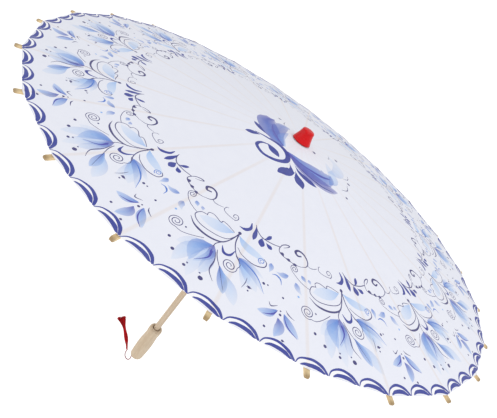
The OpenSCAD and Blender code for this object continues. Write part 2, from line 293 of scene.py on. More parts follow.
@dataclass(frozen=True)
class FloralPainting:
    """Blue flowers painted round the paper, drawn flat and wrapped into a ring.

    A repeat is drawn with x along the rim, in mm at RING_R, and y the distance from the
    umbrella's axis. A vine ring, a row of flowers with sprigs between them and a
    scalloped border repeat round the paper, and one spray is painted beside the cap.
    """

    repeats: int = 13
    scallops: int = 65
    first_stem: float = math.radians(12.7)
    edge_r: float = 420.0
    stretch: float = 425.0 / 420.0
    scallop_phase: float = 0.25

    def flower(self) -> list[Mark]:
        """The large flower, its side bloom and the leaves at their foot.

        Returns:
            The marks, drawn flat.
        """
        sky, mist, cobalt = Pigment.SKY, Pigment.MIST, Pigment.COBALT
        violet, navy = Pigment.VIOLET, Pigment.NAVY
        marks = [
            petal([(-6, 306), (-24, 313), (-52, 321)], 17, sky, mist, 0.8, 0.3, 0.6, 0.0),
            petal([(1, 304), (16, 312), (45, 316)], 12, sky, mist, 0.9, 0.5, 0.6, 0.0),
            petal([(-19, 347), (-33, 360), (-46, 374)], 15, sky, mist, 0.6, 0.2),
            petal([(-15, 348), (-20, 376), (-18, 404)], 15, sky, mist, 0.8, 0.15),
            petal([(-17, 347), (-32, 370), (-36, 399)], 17, sky, mist, 0.9, 0.3),
            petal([(-12, 349), (-10, 370), (-11, 390)], 13, cobalt, mist, 0.9, 0.4),
            petal([(-17, 345), (-29, 360), (-25, 384)], 16, cobalt, sky, 1.0, 0.5),
            petal([(-16, 345), (-13, 360), (-22, 382)], 10, violet, sky, 1.0, 0.35, 0.4),
            petal([(1, 363), (10, 378), (16, 392)], 12, cobalt, sky, 1.0, 0.7),
            petal([(4, 366), (18, 378), (29, 398)], 15, sky, mist, 0.9, 0.3, 0.65),
            petal([(15, 337), (27, 351), (31, 371)], 14, sky, mist, 0.9, 0.15),
            petal([(14, 337), (31, 350), (45, 366)], 16, sky, mist, 1.0, 0.2),
            petal([(14, 336), (34, 344), (53, 362)], 11, cobalt, mist, 1.0, 0.3, 0.4),
            petal([(13, 335), (32, 336), (50, 343)], 8, cobalt, mist, 1.0, 0.1, 0.4),
            stroke([(14, 335), (28, 338), (42, 346), (53, 362)], (0.8, 2.0, 0.3), cobalt),
            stroke([(31, 354), (31, 362), (29, 371)], (0.4, 1.0, 0.3)),
            stroke([(-14, 353), (-13, 364), (-22, 379)], (3.6, 1.6, 0.3), violet),
            stroke([(0, 302), (-6, 322), (-15, 338), (-16, 346)], (1.6, 1.2, 1.0)),
            stroke([(0, 302), (2, 318), (8, 331), (15, 338)], (1.6, 1.3, 1.0)),
            stroke([(-10, 346), (-6, 355), (2, 366), (15, 388)], (0.8, 1.2, 0.7, 0.4)),
            stroke([(-10, 350), (-6, 362), (-5, 377), (3, 387)], (0.6, 1.6, 0.5)),
            stroke([(-4, 318), (-12, 332), (-28, 339), (-46, 338), (-58, 330)],
                   (0.8, 2.4, 3.0, 0.4)),
            stroke([(-9, 335), (-3, 343), (4, 340), (7, 328)], (0.5, 4.2, 3.2, 0.4), navy),
            stroke([(-2, 309), (-9, 322), (-24, 329), (-44, 331), (-56, 324), (-54, 314),
                    (-47, 311)], (0.8, 1.2, 1.0)),
            stroke([(-46, 312), (-47, 306), (-40, 303), (-28, 306), (-26, 302), (-18, 302),
                    (-6, 305)], (0.8, 1.2, 0.9)),
            stroke([(7, 322), (16, 328), (32, 331), (45, 326), (47, 318), (42, 314)],
                   (0.7, 1.4, 1.0)),
            stroke([(-29, 345), (-40, 354), (-50, 360)] + spiral((-61, 352), 9, 1.5, 2.3, 60),
                   (0.8, 1.1, 0.8), steps=2),
            stroke([(10, 335), (19, 343)] + spiral((9, 353), 9, 1.5, 2.1, -20),
                   (0.8, 1.2, 0.8), steps=2),
            stroke(spiral((40, 319), 5, 1.2, 1.6, 90), (1.0, 1.0, 0.7), cobalt, steps=2),
            stroke([(-57, 319), (-70, 315), (-82, 307)] + spiral((-80, 300), 6, 1.2, 1.7, 160),
                   (0.8, 1.0, 0.8), steps=2),
            dot(0, 300, 2.6),
            dot(-53, 376, 1.8), dot(-42, 387, 2.0), dot(-25, 394, 1.7), dot(-24, 389, 1.0),
            dot(-7, 394, 2.6), dot(-10, 389, 0.9), dot(36, 365, 1.8), dot(36, 370, 1.1),
            dot(50, 348, 1.8), dot(55, 347, 1.1), dot(-50, 350, 1.2),
        ]
        return marks

    def sprig(self) -> list[Mark]:
        """The small sprig of three leaves that stands between two flowers.

        Returns:
            The marks, drawn flat.
        """
        cobalt, sky, violet = Pigment.COBALT, Pigment.SKY, Pigment.VIOLET
        return [
            petal([(72, 381), (75, 391), (70, 405)], 12, violet, sky, 1.0, 0.7),
            petal([(70, 372), (62, 381), (50, 385)], 10, cobalt, sky, 1.0, 0.6),
            stroke([(71, 372), (66, 380), (56, 386)], (0.5, 2.2, 0.3), violet),
            petal([(78, 372), (84, 382), (95, 393)], 11, cobalt, sky, 1.0, 0.6),
            stroke([(78, 374), (83, 386), (94, 394)], (0.5, 1.8, 0.4), violet),
            stroke([(60, 367), (63, 371), (70, 366)], (0.4, 1.6, 0.4)),
            stroke([(80, 366), (83, 370), (90, 373)], (0.4, 1.6, 0.4)),
            dot(74, 376, 1.6), dot(74, 371, 1.0), dot(60, 400, 1.4), dot(79, 405, 1.4),
            dot(75, 352, 1.4),
            petal([(-68, 334), (-74, 328), (-77, 320)], 8, Pigment.MIST, cobalt, 0.3, 1.0, 0.65),
            dot(-73, 338, 1.5, sky),
            petal([(-62, 311), (-65, 308), (-69, 304)], 6, sky, cobalt, 0.5, 1.0, 0.65),
            petal([(-54, 311), (-56, 308), (-58, 305)], 5, sky, cobalt, 0.5, 1.0, 0.65),
            petal([(53, 328), (54, 320), (53, 313)], 7, sky, cobalt, 0.4, 1.0, 0.65),
            petal([(61, 321), (70, 321), (79, 316)], 8, sky, cobalt, 0.4, 1.0, 0.65),
            stroke([(57, 328), (63, 326), (69, 329), (71, 336)], (0.5, 2.4, 0.4), cobalt),
        ]

    def vine(self) -> list[Mark]:
        """The vine ring inside the flowers: comma leaves, a curl and a scroll.

        Returns:
            The marks, drawn flat.
        """
        navy = Pigment.NAVY
        return [
            stroke([(-6, 290), (3, 288), (9, 280), (7, 270)], (0.5, 5.0, 4.2, 1.2), navy),
            drop([(14, 267), (18, 279), (19, 295)], 6),
            drop([(30, 282), (31, 288), (33, 298)], 9),
            drop([(37, 286), (42, 289), (49, 292)], 7),
            drop([(32, 283), (38, 279), (43, 270)], 5),
            stroke([(14, 268), (20, 276), (30, 282), (46, 282), (60, 279)], (0.8, 1.6, 1.2)),
            stroke([(60, 279), (60, 286), (65, 290), (76, 292), (87, 293), (97, 291)],
                   (1.0, 1.2, 0.8)),
            stroke([(60, 281), (63, 274), (70, 269), (76, 268), (73, 272), (66, 277)],
                   (0.8, 1.8, 0.5)),
            dot(66, 288, 2.6), dot(77, 291.5, 2.4), dot(87, 293, 2.0),
            stroke([(-70, 291), (-60, 285), (-58, 277), (-64, 268), (-74, 266), (-80, 271),
                    (-76, 275.5), (-69, 273)], (0.6, 1.6, 3.0, 3.6, 2.0)),
            stroke([(-59, 282), (-54, 285), (-47, 284), (-40, 281)], (0.8, 1.0, 0.6)),
            stroke([(-34, 276), (-37, 277), (-37, 284), (-28, 287), (-16, 287)]
                   + spiral((-18, 281), 6, 1.5, -1.2, 70), (0.8, 1.0, 1.0, 0.7), steps=3),
        ]

    def border(self) -> list[Mark]:
        """The scalloped edge: an arch and the filled crescent inside each one.

        Returns:
            The marks of one arch, drawn flat.
        """
        pitch = 2 * math.pi * RING_R / self.scallops
        half = pitch / 2
        edge = self.edge_r
        arch = [(-half, edge + 0.5), (-0.72 * half, edge - 7.5), (-0.05 * half, edge - 11.8),
                (0.62 * half, edge - 8), (half, edge + 0.5)]
        crescent = [(-0.66 * half, edge - 1.6), (-0.35 * half, edge - 4.2),
                    (0.1 * half, edge - 4.8), (0.45 * half, edge - 3.8), (0.72 * half, edge - 1.2)]
        bare = [(-half, edge), (-0.5 * half, edge - 5), (0.3 * half, edge - 5), (half, edge)]
        return [stroke(bare, (2.0, 8.0, 8.0, 2.0), Pigment.WHITE, 4),
                stroke(arch, (1.0, 1.8, 3.2, 4.4, 2.6), Pigment.NAVY, 4),
                stroke(crescent, (1.6, 3.8, 5.0, 5.2, 3.0), Pigment.NAVY, 4)]

    def centre(self) -> list[Mark]:
        """The spray beside the cap, drawn in the paper's own X and Y.

        Returns:
            The marks, in the paper's plan.
        """
        cobalt, violet, sky, mist = Pigment.COBALT, Pigment.VIOLET, Pigment.SKY, Pigment.MIST
        navy = Pigment.NAVY
        return [
            petal([(8, 68), (-20, 78), (-52, 70), (-66, 40)], 26, sky, mist, 0.6, 0.2),
            petal([(40, 86), (10, 82), (-18, 52)], 22, sky, mist, 0.9, 0.3),
            petal([(61, -6), (46, -38), (12, -66), (-14, -62)], 38, cobalt, violet, 1.0, 1.0, 0.5, 0.8),
            petal([(60, -5), (34, -32), (-6, -42), (-24, -34)], 26, violet, cobalt, 1.0, 0.7, 0.5, 0.6),
            petal([(58, -3), (38, -22), (6, -24)], 14, sky, cobalt, 0.7, 0.6, 0.5, 0.3),
            petal([(64, 4), (62, 40), (40, 72), (12, 78)], 38, cobalt, cobalt, 1.0, 0.8, 0.55, 0.7),
            petal([(64, 4), (72, 44), (58, 84), (38, 104)], 26, violet, violet, 1.0, 0.7, 0.55, 0.5),
            stroke([(64, 4), (62, 36), (44, 66), (24, 80)], (0.8, 3.5, 6.0, 2.0), violet),
            stroke([(72, 14), (76, 46), (68, 78), (50, 100)], (1.0, 2.4, 3.6, 1.0), navy),
            stroke([(58, -8), (40, -36), (14, -54)], (0.8, 3.6, 1.0), violet),
            stroke([(80, -52), (72, -34), (65, -10), (72, 10), (90, 18), (110, 8), (120, -10),
                    (112, -28), (97, -29), (87, -20)],
                   (1.2, 4.2, 6.6, 9.5, 8.5, 7.0, 6.5, 6.0, 5.0, 2.0), navy),
            petal([(86, -21), (91, -8), (96, 7)], 15, navy, navy, 1.0, 1.0, 0.55, 0.0),
            drop([(78, -40), (84, -48), (98, -60)], 11),
            drop([(63, -32), (60, -50), (50, -71)], 9),
            drop([(88, 24), (104, 35), (130, 24)], 18),
            drop([(92, 38), (104, 50), (115, 66)], 17),
            drop([(80, 28), (88, 48), (82, 78)], 12),
            stroke([(-62, 92), (-46, 97), (-30, 90)], (0.6, 1.4, 0.6)),
            stroke([(-20, 104), (-2, 111), (16, 104)], (0.6, 1.8, 0.6)),
            stroke([(-66, 42), (-54, 48), (-44, 46)], (0.4, 1.4, 0.4)),
            stroke([(-46, -52), (-34, -50), (-22, -44)], (0.4, 1.6, 0.4)),
            dot(-46, -64, 3.2), dot(-8, 28, 3.0), dot(-86, 56, 3.4), dot(-31, 104, 3.2),
            dot(24, 119, 2.6),
        ]

    def wrapped(self, mark: Mark, turn: float) -> Mark:
        """A mark of a repeat, bent round the axis and fitted to the straight panel edges.

        Args:
            mark: a mark drawn flat.
            turn: azimuth of the repeat's stem, in radians.

        Returns:
            The mark in the paper's plan.
        """
        angle = turn + mark.line[:, 0] / RING_R
        off = np.abs((angle + PITCH / 2) % PITCH - PITCH / 2)
        reach = math.cos(PITCH / 2) / np.cos(PITCH / 2 - off)
        radius = mark.line[:, 1] * reach * self.stretch
        line = np.stack([radius * np.cos(angle), radius * np.sin(angle)], axis=1)
        return mark.moved(line)

    def marks(self) -> list[Mark]:
        """Every mark on the paper, in the order that they are painted.

        Returns:
            The marks, in the paper's plan.
        """
        painted = []
        for k in range(self.repeats):
            turn = self.first_stem + 2 * math.pi * k / self.repeats
            for mark in self.sprig() + self.flower() + self.vine():
                painted.append(self.wrapped(mark, turn))
        for k in range(self.scallops):
            turn = self.first_stem + 2 * math.pi * (k + self.scallop_phase) / self.scallops
            painted += [self.wrapped(mark, turn) for mark in self.border()]
        return painted + self.centre()


# ---------------------------------------------------------------- mesh helpers


def new_piece(name: str, vertices: np.ndarray, faces: list[tuple[int, ...]],
              smooth_shaded: bool = True) -> bpy.types.Object:
    """Makes a mesh object at the origin.

    Args:
        name: the piece's name.
        vertices: its points, in metres.
        faces: the corners of each face, anticlockwise from outside.
        smooth_shaded: whether its faces blend into each other.

    Returns:
        The new object, linked to the scene.
    """
    mesh = bpy.data.meshes.new(name)
    mesh.from_pydata([tuple(v) for v in vertices], [], faces)
    mesh.update()
    if smooth_shaded:
        mesh.shade_smooth()
    piece = bpy.data.objects.new(name, mesh)
    bpy.context.scene.collection.objects.link(piece)
    return piece


def eased(profile: Points, radius: float, steps: int = 4) -> Points:
    """Rounds the inner corners of a profile.

    Args:
        profile: corners as (radius, height), in mm.
        radius: how far from each corner its rounding starts, at most.
        steps: pieces in each rounding.

    Returns:
        The profile with its corners rounded.
    """
    out = [profile[0]]
    for before, corner, after in zip(profile, profile[1:], profile[2:]):
        a, b, c = (np.array(p, float) for p in (before, corner, after))
        reach = min(radius, np.linalg.norm(a - b) / 2, np.linalg.norm(c - b) / 2)
        start = b + (a - b) / np.linalg.norm(a - b) * reach
        end = b + (c - b) / np.linalg.norm(c - b) * reach
        for t in np.linspace(0, 1, steps + 1):
            out.append(tuple((1 - t) ** 2 * start + 2 * t * (1 - t) * b + t * t * end))
    return out + [profile[-1]]


def closed_tube(rings: int, sides: int) -> list[tuple[int, ...]]:
    """Faces of a tube with a point at each end, whose rings follow the first point.

    Args:
        rings: how many rings of points lie between the two end points.
        sides: points in each ring.

    Returns:
        The faces, outside outward for rings that run anticlockwise about the tube.
    """
    faces: list[tuple[int, ...]] = []
    top, last = 1 + (rings - 1) * sides, 1 + rings * sides
    for j in range(sides):
        k = (j + 1) % sides
        faces += [(0, 1 + k, 1 + j), (top + j, top + k, last)]
        faces += [(1 + i * sides + j, 1 + i * sides + k, 1 + (i + 1) * sides + k,
                   1 + (i + 1) * sides + j) for i in range(rings - 1)]
    return faces


def lathe(profile: Points, sides: int) -> tuple[np.ndarray, list[tuple[int, ...]]]:
    """Points and faces of a profile turned about the Z axis.

    Args:
        profile: (radius, height), from one point on the axis to another.
        sides: faces round the piece.

    Returns:
        The points, in the profile's unit, and the faces.
    """
    angles = np.arange(sides) * 2 * math.pi / sides
    vertices = [(0, 0, profile[0][1])]
    for r, z in profile[1:-1]:
        vertices += [(r * math.cos(a), r * math.sin(a), z) for a in angles]
    vertices.append((0, 0, profile[-1][1]))
    return np.array(vertices), closed_tube(len(profile) - 2, sides)


def turned(name: str, profile: Points, sides: int = 72) -> bpy.types.Object:
    """Turns a profile into a closed round piece about the Z axis.

    Args:
        name: the piece's name.
        profile: (radius, height) in mm, from one point on the axis to another, with the
            outside on its right.
        sides: faces round the piece.

    Returns:
        The new object.
    """
    vertices, faces = lathe(profile, sides)
    return new_piece(name, vertices * MM, faces)


# ---------------------------------------------------------------- shader groups


class Graph:
    """Short ways to add nodes to a shader or geometry tree."""

    def __init__(self, tree: bpy.types.NodeTree) -> None:
        """Keeps the tree that the nodes are added to.

        Args:
            tree: the tree.
        """
        self.tree = tree

    def add(self, kind: str, values: dict[int | str, object] | None = None,
            **options: object) -> bpy.types.Node:
        """Adds a node.

        Args:
            kind: the node's type.
            values: what each input is set to, or the socket that it is linked from.
            options: the node's own settings.

        Returns:
            The new node.
        """
        node = self.tree.nodes.new(kind)
        for option, choice in options.items():
            setattr(node, option, choice)
        self.feed(node, values or {})
        return node

    def feed(self, node: bpy.types.Node, values: dict[int | str, object]) -> None:
        """Sets or links some inputs of a node.

        Args:
            node: the node.
            values: what each input is set to, or the socket that it is linked from.
        """
        for key, value in values.items():
            if isinstance(value, bpy.types.NodeSocket):
                self.tree.links.new(value, node.inputs[key])
            else:
                node.inputs[key].default_value = value

    def math(self, operation: str, a: object, b: object = 0.0,
             clamp: bool = False) -> bpy.types.NodeSocket:
        """Output of a Math node with that operation.

        Args:
            operation: the node's operation.
            a: first value or socket.
            b: second value or socket.
            clamp: whether the result is kept from 0 to 1.

        Returns:
            The socket.
        """
        return self.add("ShaderNodeMath", {0: a, 1: b}, operation=operation,
                        use_clamp=clamp).outputs[0]

    def mix(self, share: object, a: object, b: object,
            blend: str = "MIX") -> bpy.types.NodeSocket:
        """Colour output of a Mix node.

        Args:
            share: how much of the second colour, as a value or a socket.
            a: first colour or socket.
            b: second colour or socket.
            blend: how the two are blended.

        Returns:
            The socket.
        """
        return self.add("ShaderNodeMix", {0: share, 6: a, 7: b}, data_type="RGBA",
                        blend_type=blend).outputs[2]

    def ramp(self, value: object, low: float, high: float, a: float = 0.0,
             b: float = 1.0) -> bpy.types.NodeSocket:
        """Smooth step of a value from a at low to b at high.

        Args:
            value: the value or socket.
            low: where the step starts.
            high: where it ends.
            a: result below the step.
            b: result above it.

        Returns:
            The socket.
        """
        return self.add("ShaderNodeMapRange", {0: value, 1: low, 2: high, 3: a, 4: b},
                        interpolation_type="SMOOTHSTEP").outputs[0]


def new_group(name: str, inputs: dict[str, tuple[str, object]],
              outputs: dict[str, str]) -> tuple[bpy.types.NodeTree, Graph]:
    """Starts a shader node group.

    Args:
        name: the group's name.
        inputs: each input's kind, Float, Color or Vector, and first value.
        outputs: each output's kind.

    Returns:
        The group and a graph to fill it.
    """
    tree = bpy.data.node_groups.new(name, "ShaderNodeTree")
    for label, (kind, value) in inputs.items():
        socket = tree.interface.new_socket(label, in_out="INPUT", socket_type=f"NodeSocket{kind}")
        socket.default_value = value
    for label, kind in outputs.items():
        tree.interface.new_socket(label, in_out="OUTPUT", socket_type=f"NodeSocket{kind}")
    return tree, Graph(tree)


class GrainGroup:
    """Fibres, pores and cloudy patches of wood or bamboo, for any direction of growth."""

    def __init__(self) -> None:
        """Builds the group: fine fibres, short pores and slow changes of tone."""
        self.tree, graph = new_group(
            "grain",
            {"Place": ("Vector", (0.0, 0.0, 0.0)), "Fibres": ("Float", 900.0),
             "Stretch": ("Float", 0.03), "Light": ("Color", (0.7, 0.6, 0.4, 1)),
             "Dark": ("Color", (0.5, 0.35, 0.2, 1)), "Depth": ("Float", 0.6)},
            {"Color": "Color", "Height": "Float", "Tone": "Float"})
        inside = graph.add("NodeGroupInput")
        along = graph.math("MULTIPLY", inside.outputs["Fibres"], inside.outputs["Stretch"])
        scale = graph.add("ShaderNodeCombineXYZ", {0: inside.outputs["Fibres"],
                                                   1: inside.outputs["Fibres"], 2: along})
        place = graph.add("ShaderNodeVectorMath", {0: inside.outputs["Place"],
                                                   1: scale.outputs[0]}, operation="MULTIPLY")
        fibres = graph.add("ShaderNodeTexNoise", {"Vector": place.outputs[0], "Scale": 1.0,
                                                  "Detail": 3.0, "Roughness": 0.6})
        clouds = graph.add("ShaderNodeTexNoise", {"Vector": place.outputs[0], "Scale": 0.13,
                                                  "Detail": 2.0, "Distortion": 0.6})
        pores = graph.ramp(fibres.outputs[0], 0.62, 0.75)
        blend = graph.math("ADD", graph.math("MULTIPLY", fibres.outputs[0], 0.6),
                           graph.math("MULTIPLY", clouds.outputs[0], 0.55))
        tone = graph.math("MULTIPLY", graph.ramp(blend, 0.4, 0.75), inside.outputs["Depth"])
        colour = graph.mix(tone, inside.outputs["Light"], inside.outputs["Dark"])
        colour = graph.mix(graph.math("MULTIPLY", pores, 0.25), colour, inside.outputs["Dark"])
        height = graph.math("SUBTRACT", fibres.outputs[0], graph.math("MULTIPLY", pores, 0.5))
        graph.add("NodeGroupOutput", {"Color": colour, "Height": height, "Tone": tone})


class WearGroup:
    """Fine scratches and dull smudges that break up an even gloss."""

    def __init__(self) -> None:
        """Builds the group from two sizes of noise."""
        self.tree, graph = new_group(
            "wear", {"Scale": ("Float", 60.0), "Amount": ("Float", 0.15),
                     "Roughness": ("Float", 0.3)},
            {"Roughness": "Float", "Mask": "Float"})
        inside = graph.add("NodeGroupInput")
        place = graph.add("ShaderNodeTexCoord").outputs["Object"]
        smudges = graph.add("ShaderNodeTexNoise", {"Vector": place, "Detail": 4.0,
                                                   "Scale": inside.outputs["Scale"]})
        fine = graph.math("MULTIPLY", inside.outputs["Scale"], 9.0)
        specks = graph.add("ShaderNodeTexNoise", {"Vector": place, "Detail": 2.0, "Scale": fine})
        mask = graph.math("ADD", graph.math("MULTIPLY", smudges.outputs[0], 0.7),
                          graph.math("MULTIPLY", specks.outputs[0], 0.3))
        mask = graph.ramp(mask, 0.4, 0.62)
        rough = graph.math("ADD", inside.outputs["Roughness"],
                           graph.math("MULTIPLY", mask, inside.outputs["Amount"]))
        graph.add("NodeGroupOutput", {"Roughness": rough, "Mask": mask})


def new_material(name: str, **fixed: object) -> tuple[bpy.types.Material, Graph, bpy.types.Node]:
    """Starts a material whose Principled shader has some plain values.

    Args:
        name: the material's name.
        fixed: inputs of the shader, with underscores for spaces.

    Returns:
        The material, a graph to fill it and its shader.
    """
    material = bpy.data.materials.new(name)
    material.use_nodes = True
    graph = Graph(material.node_tree)
    shader = material.node_tree.nodes["Principled BSDF"]
    for key, value in fixed.items():
        shader.inputs[key.replace("_", " ")].default_value = value
    return material, graph, shader


@dataclass(frozen=True)
class GrownFinish:
    """Bare, sealed bamboo or turned wood whose fibres run one way."""

    name: str
    light: tuple[float, float, float, float]
    dark: tuple[float, float, float, float]
    outward: bool = False
    fibres: float = 900.0
    stretch: float = 0.035
    depth: float = 0.6
    roughness: float = 0.5
    lathe_marks: float = 0.0
    dark_from: float = 0.0
    darkens_over: float = 0.007
    end_tint: tuple[float, float, float, float] = linear(132, 104, 66)

    def material(self, grain: GrainGroup, wear: WearGroup) -> bpy.types.Material:
        """Builds the finish.

        Args:
            grain: the shared fibres.
            wear: the shared smudges.

        Returns:
            The material.
        """
        material, graph, shader = new_material(self.name, Specular_IOR_Level=0.4)
        place = graph.add("ShaderNodeTexCoord").outputs["Object"]
        parts = graph.add("ShaderNodeSeparateXYZ", {0: place})
        x, y, z = parts.outputs
        plan = graph.add("ShaderNodeCombineXYZ", {0: x, 1: y})
        radius = graph.add("ShaderNodeVectorMath", {0: plan.outputs[0]},
                           operation="LENGTH").outputs["Value"]
        if self.outward:
            turn = graph.math("MULTIPLY", graph.math("ARCTAN2", y, x), 0.35)
            lie = graph.add("ShaderNodeCombineXYZ", {0: turn, 1: z, 2: radius}).outputs[0]
        else:
            lie = place
        fibres = graph.add("ShaderNodeGroup", {
            "Place": lie, "Fibres": self.fibres, "Stretch": self.stretch, "Light": self.light,
            "Dark": self.dark, "Depth": self.depth}, node_tree=grain.tree)
        colour = fibres.outputs["Color"]
        if self.dark_from:
            end = graph.ramp(radius, self.dark_from, self.dark_from + self.darkens_over, 0.0, 0.7)
            colour = graph.mix(end, colour, self.end_tint)
        height = fibres.outputs["Height"]
        if self.lathe_marks:
            rings = graph.add("ShaderNodeTexNoise", {"Detail": 3.0, "Scale": 1.0, "Vector":
                              graph.add("ShaderNodeCombineXYZ",
                                        {2: graph.math("MULTIPLY", z, 1400.0)}).outputs[0]})
            height = graph.math("ADD", height,
                                graph.math("MULTIPLY", rings.outputs[0], self.lathe_marks))
            shade = graph.ramp(rings.outputs[0], 0.35, 0.7, 0.0, 0.22)
            colour = graph.mix(shade, colour, self.dark)
        smudge = graph.add("ShaderNodeGroup", {"Roughness": self.roughness, "Amount": 0.2},
                           node_tree=wear.tree)
        bump = graph.add("ShaderNodeBump", {"Height": height, "Strength": 0.35,
                                            "Distance": 0.0002})
        graph.feed(shader, {"Base Color": colour, "Roughness": smudge.outputs["Roughness"],
                            "Normal": bump.outputs[0]})
        return material


@dataclass(frozen=True)
class SteelFinish:
    """Drawn steel, a little dull, with faint stains."""

    name: str
    tint: tuple[float, float, float, float]
    roughness: float = 0.32

    def material(self, wear: WearGroup) -> bpy.types.Material:
        """Builds the finish with the shared smudges.

        Args:
            wear: the shared smudges.

        Returns:
            The material.
        """
        material, graph, shader = new_material(self.name, Metallic=1.0)
        smudge = graph.add("ShaderNodeGroup", {"Scale": 220.0, "Roughness": self.roughness},
                           node_tree=wear.tree)
        stained = graph.mix(graph.math("MULTIPLY", smudge.outputs["Mask"], 0.4), self.tint,
                            linear(120, 112, 100))
        graph.feed(shader, {"Base Color": stained, "Roughness": smudge.outputs["Roughness"]})
        return material


@dataclass(frozen=True)
class LacquerFinish:
    """Glossy red lacquer over turned wood, darker at the foot: a painted shade where the cap meets the
    paper.
    """

    name: str = "red_lacquer"
    bright: tuple[float, float, float, float] = linear(222, 6, 16)
    deep: tuple[float, float, float, float] = linear(160, 0, 8)

    def material(self, wear: WearGroup, foot_z: float) -> bpy.types.Material:
        """Builds the finish.

        Args:
            wear: the shared smudges.
            foot_z: height of the cap's foot, in metres.

        Returns:
            The material.
        """
        material, graph, shader = new_material(self.name, Coat_Weight=0.15, Coat_Roughness=0.08,
                                               Specular_IOR_Level=0.2)
        place = graph.add("ShaderNodeTexCoord").outputs["Object"]
        height = graph.add("ShaderNodeSeparateXYZ", {0: place}).outputs[2]
        # painted shade: the lacquer turns to the deep red over the lowest few mm, where the cap meets
        # the paper
        foot = graph.ramp(height, foot_z + 0.0002, foot_z + 0.0025, 0.7, 0.0)
        clouds = graph.add("ShaderNodeTexNoise", {"Vector": place, "Scale": 120.0, "Detail": 3.0})
        share = graph.math("ADD", foot, graph.math("MULTIPLY", clouds.outputs[0], 0.3), True)
        colour = graph.mix(share, self.bright, self.deep)
        smudge = graph.add("ShaderNodeGroup", {"Scale": 150.0, "Roughness": 0.26,
                                               "Amount": 0.12}, node_tree=wear.tree)
        peel = graph.add("ShaderNodeTexNoise", {"Vector": place, "Scale": 420.0, "Detail": 1.0})
        bump = graph.add("ShaderNodeBump", {"Height": peel.outputs[0], "Strength": 0.12,
                                            "Distance": 0.0003})
        graph.feed(shader, {"Base Color": colour, "Roughness": smudge.outputs["Roughness"],
                            "Normal": bump.outputs[0]})
        return material


@dataclass(frozen=True)
class SilkFinish:
    """Dyed silk thread with a soft sheen and a fine twist."""

    name: str
    bright: tuple[float, float, float, float] = linear(205, 0, 18)
    deep: tuple[float, float, float, float] = linear(140, 0, 10)

    def material(self) -> bpy.types.Material:
        """Builds the finish.

        Returns:
            The material.
        """
        material, graph, shader = new_material(self.name, Roughness=0.5, Sheen_Weight=0.05,
                                               Sheen_Roughness=0.35, Specular_IOR_Level=0.2)
        place = graph.add("ShaderNodeTexCoord").outputs["Object"]
        threads = graph.add("ShaderNodeTexNoise", {"Vector": place, "Scale": 900.0, "Detail": 2.0})
        patches = graph.add("ShaderNodeTexNoise", {"Vector": place, "Scale": 160.0})
        share = graph.math("ADD", graph.ramp(threads.outputs[0], 0.35, 0.7, 0.0, 0.6),
                           graph.ramp(patches.outputs[0], 0.4, 0.7, 0.0, 0.4), True)
        colour = graph.mix(share, self.bright, self.deep)
        bump = graph.add("ShaderNodeBump", {"Height": threads.outputs[0], "Strength": 0.4,
                                            "Distance": 0.0002})
        graph.feed(shader, {"Base Color": colour, "Normal": bump.outputs[0]})
        return material


class PaperSide(Enum):
    """The two faces of the paper, and how strongly the painting shows on each."""

    PAINTED = 1.0
    INSIDE = 0.4


@dataclass(frozen=True)
class OiledPaperFinish:
    """Oiled paper: fibres, a soft gloss, and the ribs that show faintly through it."""

    name: str
    side: PaperSide
    rib_half: float = 1.5

    def material(self, wear: WearGroup) -> bpy.types.Material:
        """Builds the finish, reading the painting and the plan from the mesh.

        Args:
            wear: the shared smudges.

        Returns:
            The material.
        """
        material, graph, shader = new_material(self.name, Specular_IOR_Level=0.35)
        paint = graph.add("ShaderNodeAttribute", attribute_name="painting").outputs["Color"]
        place = graph.add("ShaderNodeTexCoord").outputs["Object"]
        chart = graph.add("ShaderNodeSeparateXYZ", {
            0: graph.add("ShaderNodeUVMap", uv_map="plan").outputs[0]}).outputs
        across, outward = chart[0], chart[1]
        offset = graph.math("ABSOLUTE", graph.math("SUBTRACT", across, 0.5))
        edge = self.rib_half / PLAN_WIDTH
        strong = graph.ramp(outward, 0.12, 0.5, 0.08, 0.34)
        rib = graph.math("MULTIPLY", graph.ramp(offset, edge * 0.6, edge * 2.2, 1.0, 0.0), strong)
        pulp = graph.add("ShaderNodeTexNoise", {"Vector": place, "Scale": 55.0, "Detail": 5.0,
                                                "Roughness": 0.65})
        fibres = graph.add("ShaderNodeTexNoise", {"Vector": place, "Scale": 700.0, "Detail": 3.0,
                                                  "Distortion": 1.5})
        paper = Pigment.PAPER.value if self.side is PaperSide.PAINTED else linear(232, 228, 226)
        shown = graph.mix(self.side.value, paper, paint)
        cloudy = graph.mix(graph.ramp(pulp.outputs[0], 0.35, 0.7, 0.0, 0.05), shown,
                           linear(200, 205, 225))
        speckled = graph.mix(graph.ramp(fibres.outputs[0], 0.6, 0.75, 0.0, 0.05), cloudy,
                             linear(250, 246, 240))
        warmed = graph.mix(rib, speckled, linear(248, 230, 210), "MULTIPLY")
        smudge = graph.add("ShaderNodeGroup", {"Scale": 18.0, "Roughness": 0.42},
                           node_tree=wear.tree)
        bump = graph.add("ShaderNodeBump", {"Height": fibres.outputs[0], "Strength": 0.12,
                                            "Distance": 0.0002})
        graph.feed(shader, {"Base Color": warmed, "Roughness": smudge.outputs["Roughness"],
                            "Normal": bump.outputs[0]})
        return material


# ---------------------------------------------------------------- the paper


